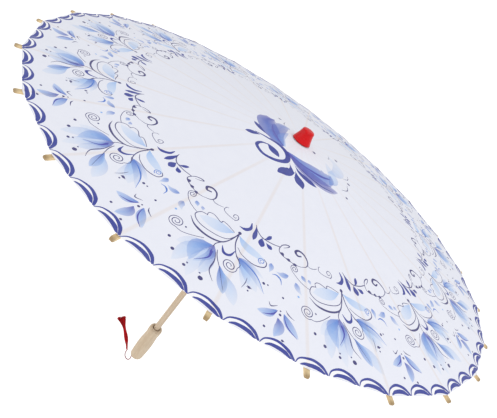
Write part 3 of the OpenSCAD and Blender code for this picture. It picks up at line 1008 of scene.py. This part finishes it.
@dataclass
class PaperCanopy:
    """The painted paper: a gore glued along each rib and a round head patch by the cap."""

    painting: FloralPainting
    slope: float = math.radians(7)
    pivot_r: float = 18.0
    head_z: float = 570.0
    lift: float = 3.325
    hole_r: float = 20.0
    edge_r: float = 425.0
    patch_r: float = 22.5
    patch_hole_r: float = 9.6
    patch_lift: float = 0.15
    sag: float = 0.7
    thickness: float = 0.35
    cell: float = 14.0
    spine_from: float = 2.5
    folded: float = 0.088
    marks: list[Mark] = field(default_factory=list)

    def surface(self, x: np.ndarray, y: np.ndarray) -> np.ndarray:
        """Height of the paper's top over points whose rib lies along +X.

        Args:
            x: distances along the rib from the axis, in mm.
            y: offsets to the side of the rib, in mm.

        Returns:
            The heights, in mm: straight over the rib, hollow between two ribs.
        """
        off = np.abs(np.arctan2(y, x))
        reach = self.along_rib(x, y)
        share = np.clip(off / (PITCH / 2), 0, 1)
        hollow = self.sag * (1 - (1 - share) ** 2) * (reach / self.edge_r) ** 1.5
        return self.head_z + self.lift - (reach - self.pivot_r) * math.tan(self.slope) - hollow

    @staticmethod
    def along_rib(x: np.ndarray, y: np.ndarray) -> np.ndarray:
        """Distance from the axis at which a straight panel line meets the rib.

        Args:
            x: distances along the rib from the axis, in mm.
            y: offsets to the side of the rib, in mm.

        Returns:
            The distances, in mm.
        """
        off = np.abs(np.arctan2(y, x))
        return np.hypot(x, y) * np.cos(PITCH / 2 - off) / math.cos(PITCH / 2)

    def frame_lines(self) -> list[np.ndarray]:
        """Outline, rib line and filling points of a gore that lies along +X.

        Returns:
            Lines of points, in mm, each joined from its first to its last.
        """
        tan = math.tan(PITCH / 2)
        near, far = self.hole_r, self.edge_r
        rows = int((far - near) / self.cell)
        lines = []
        for side in (-1.0, 0.0, 1.0):
            reach = np.linspace(near, far, rows + 1)
            # a straight panel line leaves the rib square to its middle
            x = reach * (1 if side == 0 else math.cos(PITCH / 2) ** 2)
            lines.append(np.stack([x, side * x * tan], axis=1))
        for reach in np.linspace(near, far, rows + 1):
            for side in (-1.0, 1.0):
                mid_x = reach * math.cos(PITCH / 2) ** 2
                count = max(1, int(abs(mid_x * tan) / self.cell) + 1)
                t = np.linspace(0, 1, count + 1)[:, None]
                start, end = np.array([[reach, 0.0]]), np.array([[mid_x, side * mid_x * tan]])
                lines.append(start * (1 - t) + end * t)
        return lines

    def gore(self, index: int) -> tuple[np.ndarray, np.ndarray, np.ndarray]:
        """Cuts the gore of one rib along every mark that is painted on it.

        Args:
            index: the rib, from 0.

        Returns:
            Its points in plan with the rib along +X, its triangles, and a colour for each
            corner of each triangle.
        """
        turn = index * PITCH
        back = np.array([[math.cos(turn), -math.sin(turn)], [math.sin(turn), math.cos(turn)]])
        margin, weld, least_area = 1, 1e-3, 1e-7
        here = []
        for mark in self.marks:
            line = mark.line @ back
            width = mark.half.max() + margin
            off = np.abs(np.arctan2(line[:, 1], line[:, 0])) - width / np.hypot(*line.T)
            if off.min() < PITCH / 2:
                here.append(mark.moved(line))
        points: list[tuple[float, float]] = []
        edges: list[tuple[int, int]] = []
        for line in self.frame_lines():
            first = len(points)
            points += [tuple(p) for p in line]
            edges += [(first + i, first + i + 1) for i in range(len(line) - 1)]
        for mark in here:
            outline = mark.outline()
            first, count = len(points), len(outline)
            points += [tuple(p) for p in outline]
            edges += [(first + i, first + (i + 1) % count) for i in range(count)]
            if mark.soft and mark.half.max() > self.spine_from:
                # points along its middle let the tint run from there to its edges
                first, spine = len(points), mark.line[1:-1]
                points += [tuple(p) for p in spine]
                edges += [(first + i, first + i + 1) for i in range(len(spine) - 1)]
        found = delaunay_2d_cdt([Vector(p) for p in points], edges, [], 0, weld, False)
        plan = np.array([tuple(v) for v in found[0]])
        faces = np.array([f for f in found[2] if len(f) == 3])
        middle = plan[faces].mean(axis=1)
        reach = self.along_rib(middle[:, 0], middle[:, 1])
        inside = (np.abs(np.arctan2(middle[:, 1], middle[:, 0])) < PITCH / 2)
        inside &= (reach > self.hole_r) & (reach < self.edge_r)
        faces, middle = faces[inside], middle[inside]
        a, b, c = (plan[faces[:, i]] for i in range(3))
        area = (b[:, 0] - a[:, 0]) * (c[:, 1] - a[:, 1]) - (b[:, 1] - a[:, 1]) * (c[:, 0] - a[:, 0])
        keep = np.abs(area) > least_area
        faces, middle, area = faces[keep], middle[keep], area[keep]
        faces[area < 0] = faces[area < 0][:, ::-1]
        return plan, faces, self.painted(plan, faces, middle, here)

    @staticmethod
    def painted(plan: np.ndarray, faces: np.ndarray, middle: np.ndarray,
                marks: list[Mark]) -> np.ndarray:
        """Lays the marks over each other, in order, on the triangles that they cover.

        Args:
            plan: the gore's points.
            faces: its triangles.
            middle: the middle of each triangle.
            marks: the marks on it.

        Returns:
            A colour for each corner of each triangle.
        """
        colours = np.tile(np.array(Pigment.PAPER.value), (len(faces), 3, 1))
        for mark in marks:
            reach = mark.half.max()
            low, high = mark.line.min(axis=0) - reach, mark.line.max(axis=0) + reach
            near = np.flatnonzero(((middle > low) & (middle < high)).all(axis=1))
            if not len(near):
                continue
            covered = near[mark.covers(middle[near])]
            if not len(covered):
                continue
            corners = plan[faces[covered]].reshape(-1, 2)
            colour, cover = mark.tint(corners)
            under = colours[covered].reshape(-1, 4)
            colours[covered] = (under * (1 - cover) + colour * cover).reshape(-1, 3, 4)
        return colours

    def gore_piece(self, index: int) -> bpy.types.Object:
        """Builds the gore of one rib as a piece, with its painting and its plan map.

        Args:
            index: the rib, from 0.

        Returns:
            The piece.
        """
        plan, faces, colours = self.gore(index)
        used, corner = np.unique(faces, return_inverse=True)
        faces = corner.reshape(-1, 3)
        plan = plan[used]
        x, y = plan[:, 0], plan[:, 1]
        turn = index * PITCH
        vertices = np.stack([x * math.cos(turn) - y * math.sin(turn),
                             x * math.sin(turn) + y * math.cos(turn),
                             self.surface(x, y)], axis=1) * MM
        piece = new_piece(f"paper_gore_{index + 1:02d}", vertices, [tuple(f) for f in faces])
        self.dress(piece, plan[faces.reshape(-1)], colours)
        return piece

    def patch_piece(self) -> bpy.types.Object:
        """Builds the round head patch that covers the gores' inner ends.

        Returns:
            The piece.
        """
        rings, sides = 5, 3 * RIBS
        radii = np.linspace(self.patch_hole_r, self.patch_r, rings)
        angles = np.arange(sides) * 2 * math.pi / sides
        vertices, flat = [], []
        for r in radii:
            for a in angles:
                height = (self.head_z + self.lift + self.patch_lift
                          - (r - self.pivot_r) * math.tan(self.slope))
                vertices.append((r * math.cos(a), r * math.sin(a), height))
                flat.append((r, PLAN_WIDTH / 3))
        faces = []
        for i in range(rings - 1):
            for j in range(sides):
                k = (j + 1) % sides
                faces.append((i * sides + j, (i + 1) * sides + j, (i + 1) * sides + k,
                              i * sides + k))
        piece = new_piece("paper_head_patch", np.array(vertices) * MM, faces)
        corners = np.array(flat)[np.array(faces).reshape(-1)]
        colours = np.tile(np.array(Pigment.PAPER.value), (len(faces), 4, 1))
        self.dress(piece, corners, colours)
        return piece

    def dress(self, piece: bpy.types.Object, plan: np.ndarray, colours: np.ndarray) -> None:
        """Stores the painting and the plan on a piece and gives the paper its thickness.

        Args:
            piece: the piece.
            plan: place of each face corner: distance along the rib and offset, in mm.
            colours: the paint at each face corner.
        """
        mesh = piece.data
        layer = mesh.color_attributes.new("painting", "FLOAT_COLOR", "CORNER")
        layer.data.foreach_set("color", colours.reshape(-1))
        chart = mesh.uv_layers.new(name="plan")
        uv = np.stack([0.5 + plan[:, 1] / PLAN_WIDTH, plan[:, 0] / self.edge_r], axis=1)
        chart.uv.foreach_set("vector", uv.astype(np.float32).reshape(-1))
        # the cut edges stay sharp, so that a seam between two gores leaves no soft band
        uses = np.zeros(len(mesh.edges), dtype=int)
        loops = np.empty(len(mesh.loops), dtype=int)
        mesh.loops.foreach_get("edge_index", loops)
        np.add.at(uses, loops, 1)
        mesh.edges.foreach_set("use_edge_sharp", uses == 1)
        wall = piece.modifiers.new("thickness", "SOLIDIFY")
        wall.thickness = self.thickness * MM
        wall.offset = -1
        wall.material_offset = 1
        wall.material_offset_rim = 1

    def build(self, wear: WearGroup) -> list[bpy.types.Object]:
        """Makes the paper and glues each gore to its rib, so that it moves with that rib.

        Args:
            wear: the shared smudges.

        Returns:
            The pieces, the head patch last.
        """
        self.marks = self.painting.marks()
        finishes = [OiledPaperFinish("oiled_paper", PaperSide.PAINTED).material(wear),
                    OiledPaperFinish("oiled_paper_inside", PaperSide.INSIDE).material(wear)]
        pieces = []
        for index in range(RIBS):
            piece = self.gore_piece(index)
            rib = f"rib_{index + 1:02d}"
            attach(piece, rib)
            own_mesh(piece)
            pieces.append(piece)
            LOG.info("%s: %d triangles", piece.name, len(piece.data.polygons))
        patch = self.patch_piece()
        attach(patch, "shaft")
        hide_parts("canopy")
        pieces.append(patch)
        for piece in pieces:
            for finish in finishes:
                piece.data.materials.append(finish)
        LOG.info("%s: done", patch.name)
        return pieces


# ---------------------------------------------------------------- turned pieces


@dataclass
class TurnedPart:
    """A round piece turned on a lathe in place of its plain CAD node."""

    name: str
    node: str
    body: str
    slot: str
    profile: Points
    ease: float = 1.2
    sides: int = 96

    def build(self, finish: bpy.types.Material) -> bpy.types.Object:
        """Turns the piece, rides it on its body and gives it its finish.

        Args:
            finish: its material.

        Returns:
            The piece.
        """
        piece = turned(self.name, eased(self.profile, self.ease), self.sides)
        piece.data.materials.append(finish)
        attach(piece, self.body)
        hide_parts(self.node)
        LOG.info("%s: %d faces", piece.name, len(piece.data.polygons))
        return piece


def cap_profile() -> Points:
    """Outline of the lacquered cap, from inside its socket round to its crown.

    Returns:
        The corners as (radius, height), in mm.
    """
    low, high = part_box("cap")
    foot, crown, foot_r = low[2] / MM, high[2] / MM, (high[0] - low[0]) / 2 / MM
    top_r, bore_r, socket, edge, rounding, dome = 11.25, 6.6, 12.0, 0.7, 3.2, 1.0
    crown_r, crown_drop, shoulder_in, shoulder_drop = 2.5, 0.04, 2.0, 0.5
    wall = crown - foot - rounding - dome
    side = [(top_r + (foot_r - top_r) * (1 - s) ** 1.3, foot + edge + s * (wall - edge))
            for s in np.linspace(0, 1, 7)]
    shoulder = [(top_r - rounding * (1 - math.cos(a)), foot + wall + rounding * math.sin(a))
                for a in np.radians([20, 40, 60, 78])]
    return ([(0, foot + socket), (bore_r, foot + socket), (bore_r, foot), (foot_r - edge, foot)]
            + side + shoulder + [(top_r - rounding - shoulder_in, crown - shoulder_drop),
                                 (crown_r, crown - crown_drop), (0, crown)])


def grip_profile() -> Points:
    """Outline of the grip, from its rounded end up to the mouth that takes the shaft.

    Returns:
        The corners as (radius, height), in mm.
    """
    low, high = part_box("handle")
    end, top, body_r = low[2] / MM, high[2] / MM, (high[0] - low[0]) / 2 / MM
    waist_r, collar_r, mouth_r, mouth = 13.75, 14.5, 8.5, 5.0
    taper, rounding, full = 1.2, 8.0, end + 0.45 * (top - end)
    chamfer, step, collar_round, collar_low = 4.0, 1.5, 3.0, top - 17.0
    end_r = body_r - taper
    round_end = [(end_r - rounding * (1 - math.cos(a)), end + rounding * (1 + math.sin(a)))
                 for a in np.radians(np.arange(-90, 1, 15))]
    lower = [(end_r + taper * math.sin(s * math.pi / 2), end + rounding + s * (full - end - rounding))
             for s in (0.25, 0.5, 0.75, 1.0)]
    upper = [(body_r - (body_r - waist_r) * (1 - math.cos(s * math.pi)) / 2,
              full + s * (collar_low - step - full)) for s in (0.2, 0.4, 0.6, 0.8, 1.0)]
    return ([(0, end)] + round_end + lower + upper
            + [(collar_r, collar_low + step), (collar_r, top - chamfer),
               (collar_r - collar_round / 2, top - collar_round / 2),
               (collar_r - collar_round, top), (mouth_r, top),
               (mouth_r, top - mouth), (0, top - mouth)])


# ---------------------------------------------------------------- cord and tassel


@dataclass
class TasselCord:
    """The twisted cord that leaves the end of the grip and holds the tassel."""

    route: Route = field(default_factory=lambda: [
        (0.0016, -0.0083, -0.0515), (0.0018, -0.0081, -0.055), (0.0024, -0.0074, -0.0575),
        (0.0034, -0.0063, -0.06), (0.0046, -0.0052, -0.0625), (0.006, -0.0046, -0.065),
        (0.0076, -0.0049, -0.067), (0.0093, -0.0064, -0.0682), (0.0106, -0.0088, -0.0682),
        (0.0116, -0.0115, -0.0671), (0.0124, -0.014, -0.065), (0.0128, -0.0162, -0.0624),
        (0.0126, -0.0182, -0.0596), (0.0116, -0.0198, -0.0572), (0.01, -0.0208, -0.0556),
        (0.0082, -0.0213, -0.0548), (0.0065, -0.0218, -0.0542)])
    diameter: float = 0.002
    plies: int = 3
    lay_length: float = 0.0055
    ply_depth: float = 0.14
    knot_at: float = 0.0028
    knot_half: float = 0.0011
    knot_swell: float = 0.7
    sides: int = 18

    def centreline(self) -> np.ndarray:
        """Close points along the route.

        Returns:
            The points, in metres.
        """
        return smooth(self.route, 5)

    def build(self, silk: bpy.types.Material) -> bpy.types.Object:
        """Args:
            silk: its finish.

        Returns:
            The cord.
        """
        line = self.centreline()
        run = np.gradient(line, axis=0)
        run /= np.linalg.norm(run, axis=1, keepdims=True)
        along = np.concatenate([[0], np.cumsum(np.linalg.norm(np.diff(line, axis=0), axis=1))])
        radius = self.diameter / 2
        normal = np.cross(run[0], (0, 1, 0))
        vertices = [tuple(line[0])]
        for place, way, far in zip(line, run, along):
            normal = normal - way * normal.dot(way)
            normal /= np.linalg.norm(normal)
            other = np.cross(way, normal)
            for j in range(self.sides):
                a = 2 * math.pi * j / self.sides
                twist = self.plies * (a - 2 * math.pi * far / self.lay_length)
                # a small hard knot sits where the cord leaves the grip
                knot = 1 + self.knot_swell * math.exp(-((far - self.knot_at) / self.knot_half) ** 2)
                ply = 1 - self.ply_depth + self.ply_depth * abs(math.cos(twist / 2))
                r = radius * knot * ply
                vertices.append(tuple(place + r * (math.cos(a) * normal + math.sin(a) * other)))
        vertices.append(tuple(line[-1]))
        piece = new_piece("tassel_twisted_cord", np.array(vertices),
                          closed_tube(len(line), self.sides))
        piece.data.materials.append(silk)
        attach(piece, "shaft")
        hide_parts("tassel_cord")
        LOG.info("%s: %.1f mm long", piece.name, along[-1] / MM)
        return piece


@dataclass
class Tassel:
    """A knot, a bound head and a skirt of loose silk threads, nipped above its fringe."""

    pivot: tuple[float, float, float] = (0.004955, -0.022254, -0.053655)
    way: tuple[float, float, float] = (-0.16, -0.78, 0.6)
    length: float = 0.0742
    threads: int = 320
    points: int = 22
    widest: float = 0.0082
    thread_r: float = 0.00024
    roots_at: float = 0.0018
    knot_r: float = 0.0015
    binding_r: float = 0.00185
    bow: float = 0.0026
    flattened: float = 0.45
    parted: float = 0.0013
    stray_out: float = 0.22
    stray_round: float = 0.5
    flat_way: tuple[float, float, float] = (0.88, 0.17, 0.45)
    seed: int = 7

    def tree(self, silk: bpy.types.Material) -> bpy.types.NodeTree:
        """Builds the tree that lays the threads along the tassel.

        Args:
            silk: the threads' finish.

        Returns:
            A tree with inputs for the count, length, spread, thread size and seed.
        """
        tree = bpy.data.node_groups.new("tassel_threads", "GeometryNodeTree")
        for label, kind, value in (("Threads", "Int", self.threads),
                                   ("Points", "Int", self.points),
                                   ("Length", "Float", self.length),
                                   ("Widest", "Float", self.widest),
                                   ("Thread radius", "Float", self.thread_r),
                                   ("Bow", "Float", self.bow), ("Seed", "Int", self.seed)):
            socket = tree.interface.new_socket(label, in_out="INPUT",
                                               socket_type=f"NodeSocket{kind}")
            socket.default_value = value
        tree.interface.new_socket("Geometry", in_out="OUTPUT", socket_type="NodeSocketGeometry")
        g = Graph(tree)
        given = g.add("NodeGroupInput").outputs
        places = g.add("GeometryNodePoints", {"Count": given["Threads"]}).outputs[0]
        index = g.add("GeometryNodeInputIndex").outputs[0]
        stored = places
        for salt, (label, low, high) in enumerate((("around", 0.0, 2 * math.pi),
                                                   ("outward", 0.0, 1.0),
                                                   ("cut", 0.93, 1.0), ("stray", -1.0, 1.0))):
            seed = g.math("ADD", given["Seed"], float(salt * 11))
            chance = g.add("FunctionNodeRandomValue", {2: low, 3: high, "ID": index,
                                                       "Seed": seed}, data_type="FLOAT")
            store = g.add("GeometryNodeStoreNamedAttribute", {
                "Geometry": stored, "Name": label, "Value": chance.outputs[1]},
                data_type="FLOAT", domain="POINT")
            stored = store.outputs[0]
        line = g.add("GeometryNodeCurvePrimitiveLine", {1: (0, 0, 1)}, mode="POINTS").outputs[0]
        line = g.add("GeometryNodeResampleCurve", {"Curve": line, "Count": given["Points"]})
        copies = g.add("GeometryNodeInstanceOnPoints", {"Points": stored,
                                                        "Instance": line.outputs[0]}).outputs[0]
        curves = g.add("GeometryNodeRealizeInstances", {0: copies}).outputs[0]
        share = g.add("GeometryNodeSplineParameter").outputs["Factor"]

        def named(label: str) -> bpy.types.NodeSocket:
            """The stored value of that name.

            Args:
                label: its name.

            Returns:
                The socket.
            """
            return g.add("GeometryNodeInputNamedAttribute", {"Name": label},
                         data_type="FLOAT").outputs[0]

        width = g.add("ShaderNodeFloatCurve", {"Value": share})
        curve = width.mapping.curves[0]
        outline = [(0.0, 0.18), (0.05, 0.22), (0.11, 0.24), (0.3, 0.5), (0.42, 0.5),
                   (0.58, 0.36), (0.66, 0.36), (0.84, 0.62), (1.0, 1.0)]
        curve.points[0].location, curve.points[1].location = outline[0], outline[-1]
        for spot in outline[1:-1]:
            curve.points.new(*spot)
        width.mapping.update()
        spread = g.math("MULTIPLY", width.outputs[0], given["Widest"])
        root = g.math("POWER", named("outward"), 0.5)
        loose = g.math("MULTIPLY", g.math("POWER", share, 3.0), named("stray"))
        reach = g.math("MULTIPLY", spread,
                       g.math("ADD", root, g.math("MULTIPLY", loose, self.stray_out)))
        turn = g.math("ADD", named("around"), g.math("MULTIPLY", loose, self.stray_round))
        # the loose end is flattened and parts into two locks
        x = g.math("MULTIPLY", reach, g.math("COSINE", turn))
        y = g.math("MULTIPLY", reach, g.math("SINE", turn))
        flat = g.math("SUBTRACT", 1.0,
                      g.math("MULTIPLY", g.math("POWER", share, 2.0), self.flattened))
        side = g.math("SIGN", g.math("SINE", named("around")))
        part = g.math("MULTIPLY", g.math("MULTIPLY", side, self.parted),
                      g.math("POWER", share, 4.0))
        arch = g.math("MULTIPLY", g.math("MULTIPLY", share, g.math("SUBTRACT", 1.0, share)), 4.0)
        y = g.math("ADD", g.math("ADD", y, part), g.math("MULTIPLY", arch, given["Bow"]))
        x = g.math("MULTIPLY", x, flat)
        z = g.math("MULTIPLY", g.math("MULTIPLY", share, named("cut")), given["Length"])
        lie = g.add("ShaderNodeCombineXYZ", {0: x, 1: y, 2: z}).outputs[0]
        laid = g.add("GeometryNodeSetPosition", {"Geometry": curves, "Position": lie}).outputs[0]
        ring = g.add("GeometryNodeCurvePrimitiveCircle",
                     {"Resolution": 4, "Radius": given["Thread radius"]}).outputs[0]
        threads = g.add("GeometryNodeCurveToMesh", {"Curve": laid, "Profile Curve": ring,
                                                    "Fill Caps": True}).outputs[0]
        solid = g.add("GeometryNodeRealizeInstances", {0: threads}).outputs[0]
        dressed = g.add("GeometryNodeSetMaterial", {"Geometry": solid, "Material": silk})
        g.add("NodeGroupOutput", {0: dressed.outputs[0]})
        return tree

    def bindings(self) -> tuple[np.ndarray, list[tuple[int, ...]]]:
        """The knot and the two bound necks, along +Z from the pivot.

        Returns:
            Their points, in metres, and their faces.
        """
        profile = [(0.0, -self.knot_r)]
        for a in np.radians(np.arange(-75, 61, 15)):
            profile.append((self.knot_r * math.cos(a), self.knot_r * math.sin(a)))
        turns, start, pitch = 6, 0.0022, 0.00062
        sunk, wound_r = 0.0003, 0.00034
        for i in range(turns):
            middle = start + i * pitch
            for a in np.radians((-60, -20, 20, 60)):
                profile.append((self.binding_r - sunk + wound_r * math.cos(a),
                                middle + pitch / 2 * math.sin(a)))
        profile.append((0.0, start + turns * pitch))
        return lathe(profile, 20)

    def build(self, silk: bpy.types.Material) -> bpy.types.Object:
        """Makes the threads and their bindings one piece that swings at the knot.

        Args:
            silk: the threads' finish.

        Returns:
            The tassel.
        """
        holder = bpy.data.objects.new("tassel_holder", bpy.data.meshes.new("tassel_holder"))
        bpy.context.scene.collection.objects.link(holder)
        modifier = holder.modifiers.new("threads", "NODES")
        modifier.node_group = self.tree(silk)
        for item in modifier.node_group.interface.items_tree:
            if item.in_out == "INPUT" and item.name == "Threads":
                modifier[item.identifier] = self.threads
        graph = bpy.context.evaluated_depsgraph_get()
        mesh = bpy.data.meshes.new_from_object(holder.evaluated_get(graph), depsgraph=graph)
        threads = np.array([tuple(v.co) for v in mesh.vertices])
        faces = [tuple(p.vertices) for p in mesh.polygons]
        bpy.data.objects.remove(holder)
        bound, bound_faces = self.bindings()
        threads[:, 2] += self.roots_at
        vertices = np.vstack([threads, bound])
        faces += [tuple(i + len(threads) for i in f) for f in bound_faces]
        way = Vector(self.way).normalized()
        # the fringe's flat side faces the way that the grip's plane does
        lie = Matrix.Translation(self.pivot) @ basis_along(way, Vector(self.flat_way)).to_4x4()
        turn = np.array(lie)
        vertices = vertices @ turn[:3, :3].T + turn[:3, 3]
        piece = new_piece("silk_tassel", vertices, faces)
        piece.data.materials.append(silk)
        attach(piece, "tassel")
        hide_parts("tassel")
        LOG.info("%s: %d faces", piece.name, len(faces))
        return piece


def basis_along(way: Vector, flat: Vector) -> Matrix:
    """Turning that lays +Z along a direction and +X as near as it can to another.

    Args:
        way: the direction for +Z.
        flat: the direction that +X comes near to.

    Returns:
        The turning.
    """
    side = way.cross(flat).normalized()
    front = side.cross(way).normalized()
    return Matrix((front, side, way)).transposed()


# ---------------------------------------------------------------- studio


@dataclass(frozen=True)
class Studio:
    """A pale floor, soft light all round, one large soft key light and a weak fill light."""

    floor_z: float = -0.63
    floor_half: float = 60.0
    floor_glow: float = 0.42
    surround: float = 0.73
    seen: float = 1.05
    key: tuple[tuple[float, float, float], float, float] = ((0.9, 1.2, 2.6), 1.6, 18.0)
    fill: tuple[tuple[float, float, float], float, float] = ((1.6, -1.6, 0.4), 2.0, 6.0)
    aim: tuple[float, float, float] = (0.0, 0.0, 0.45)
    lens: float = 34.51
    sensor: float = 36.0
    place: tuple[float, float, float] = (0.7535, 0.1465, 0.8060)
    right: tuple[float, float, float] = (-0.4238, 0.7233, 0.5453)
    up: tuple[float, float, float] = (-0.2353, -0.6692, 0.7048)

    def camera(self) -> None:
        """Sets the camera, looking down on the paper from the side."""
        data = bpy.data.cameras.new("camera")
        data.lens = self.lens
        data.sensor_width = self.sensor
        data.clip_start = 0.01
        data.clip_end = 400.0
        camera = bpy.data.objects.new("camera", data)
        right, up = Vector(self.right).normalized(), Vector(self.up).normalized()
        back = right.cross(up).normalized()
        turn = Matrix((right, back.cross(right), back)).transposed().to_4x4()
        camera.matrix_world = Matrix.Translation(self.place) @ turn
        bpy.context.scene.collection.objects.link(camera)
        bpy.context.scene.camera = camera

    def light(self) -> None:
        """Sets the even surround, which looks brighter than it lights, and both lamps."""
        world = bpy.data.worlds.new("surround")
        world.use_nodes = True
        sky = world.node_tree.nodes["Background"]
        sky.inputs["Color"].default_value = (1.0, 1.0, 1.0, 1)
        graph = Graph(world.node_tree)
        seen = graph.add("ShaderNodeLightPath").outputs["Is Camera Ray"]
        strength = graph.math("MULTIPLY_ADD", seen, self.seen - self.surround)
        strength.node.inputs[2].default_value = self.surround
        graph.tree.links.new(strength, sky.inputs["Strength"])
        bpy.context.scene.world = world
        for name, (place, size, watts) in (("key", self.key), ("fill", self.fill)):
            data = bpy.data.lights.new(name, "AREA")
            data.size = size
            data.energy = watts
            lamp = bpy.data.objects.new(name, data)
            lamp.location = place
            aim = Vector(self.aim) - Vector(place)
            lamp.rotation_euler = aim.to_track_quat("-Z", "Y").to_euler()
            bpy.context.scene.collection.objects.link(lamp)

    def floor(self) -> None:
        """Lays the pale floor."""
        half = self.floor_half
        vertices = np.array([(-half, -half, self.floor_z), (half, -half, self.floor_z),
                             (half, half, self.floor_z), (-half, half, self.floor_z)])
        floor = new_piece("floor", vertices, [(0, 1, 2, 3)], smooth_shaded=False)
        material, graph, shader = new_material("pale_floor", Roughness=0.9)
        place = graph.add("ShaderNodeTexCoord").outputs["Object"]
        cloud = graph.add("ShaderNodeTexNoise", {"Vector": place, "Scale": 0.7})
        colour = graph.mix(cloud.outputs[0], (0.97, 0.97, 0.97, 1), (1.0, 1.0, 1.0, 1))
        graph.feed(shader, {"Base Color": colour, "Emission Color": (1, 1, 1, 1),
                            "Emission Strength": self.floor_glow})
        floor.data.materials.append(material)

    def build(self) -> None:
        """Sets up the whole studio."""
        bpy.context.scene.view_settings.view_transform = "Standard"
        self.camera()
        self.light()
        self.floor()


# ---------------------------------------------------------------- the umbrella


@dataclass
class Umbrella:
    """Builds every sub-assembly and dresses the nodes that keep their own shape."""

    grain: GrainGroup = field(default_factory=GrainGroup)
    wear: WearGroup = field(default_factory=WearGroup)

    def finish_nodes(self) -> None:
        """Gives each kept CAD node the finish of its own material."""
        rib = GrownFinish("rib_bamboo", linear(226, 204, 160), linear(186, 152, 104), outward=True,
                          fibres=1500.0, stretch=0.012, dark_from=0.4265)
        stretcher = GrownFinish("stretcher_bamboo", linear(230, 210, 168), linear(196, 164, 116),
                                outward=True, fibres=1500.0, stretch=0.012)
        shaft = GrownFinish("shaft_wood", linear(206, 188, 164), linear(180, 156, 128),
                            fibres=1300.0, stretch=0.02)
        hub = GrownFinish("hub_wood", linear(220, 200, 164), linear(184, 154, 112),
                          fibres=1000.0, stretch=0.05, lathe_marks=0.5)
        steel = SteelFinish("drawn_steel", linear(178, 178, 180))
        wire = SteelFinish("threading_wire", linear(150, 146, 140), 0.4)
        woods = {finish.name: finish.material(self.grain, self.wear)
                 for finish in (rib, stretcher, shaft, hub)}
        metals = {finish.name: finish.material(self.wear) for finish in (steel, wire)}
        chosen = {"shaft": woods["shaft_wood"], "top_hub": woods["hub_wood"],
                  "runner": woods["hub_wood"], "hub_wire": metals["threading_wire"],
                  "runner_wire": metals["threading_wire"], "hub_nail": metals["drawn_steel"],
                  "latch_spring": metals["drawn_steel"]}
        for index in range(1, RIBS + 1):
            chosen[f"rib_{index:02d}"] = woods["rib_bamboo"]
            chosen[f"stretcher_{index:02d}"] = woods["stretcher_bamboo"]
        for name, material in chosen.items():
            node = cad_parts[name]
            node.data.materials.clear()
            node.data.materials.append(material)
            LOG.info("%s: %s", name, material.name)

    def build(self) -> None:
        """Builds the tassel, its cord, the frame's finishes, the grip, the cap and the paper."""
        silk = SilkFinish("tassel_silk").material()
        Tassel().build(silk)
        TasselCord().build(SilkFinish("cord_silk", linear(150, 22, 44), linear(84, 16, 40)).material())
        self.finish_nodes()
        grip = GrownFinish("grip_wood", linear(206, 189, 164), linear(182, 158, 130),
                           fibres=800.0, stretch=0.05, lathe_marks=0.35)
        TurnedPart("turned_grip", "handle", "shaft", "grip_wood", grip_profile()).build(
            grip.material(self.grain, self.wear))
        cap_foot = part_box("cap")[0][2]
        TurnedPart("lacquered_cap", "cap", "shaft", "red_lacquer", cap_profile(), 0.7).build(
            LacquerFinish().material(self.wear, cap_foot))
        PaperCanopy(FloralPainting()).build(self.wear)


def main() -> None:
    """Builds the studio and the umbrella."""
    logging.basicConfig(level=logging.INFO, format="%(name)s %(message)s")
    Studio().build()
    Umbrella().build()


if __name__ == "__main__":
    main()
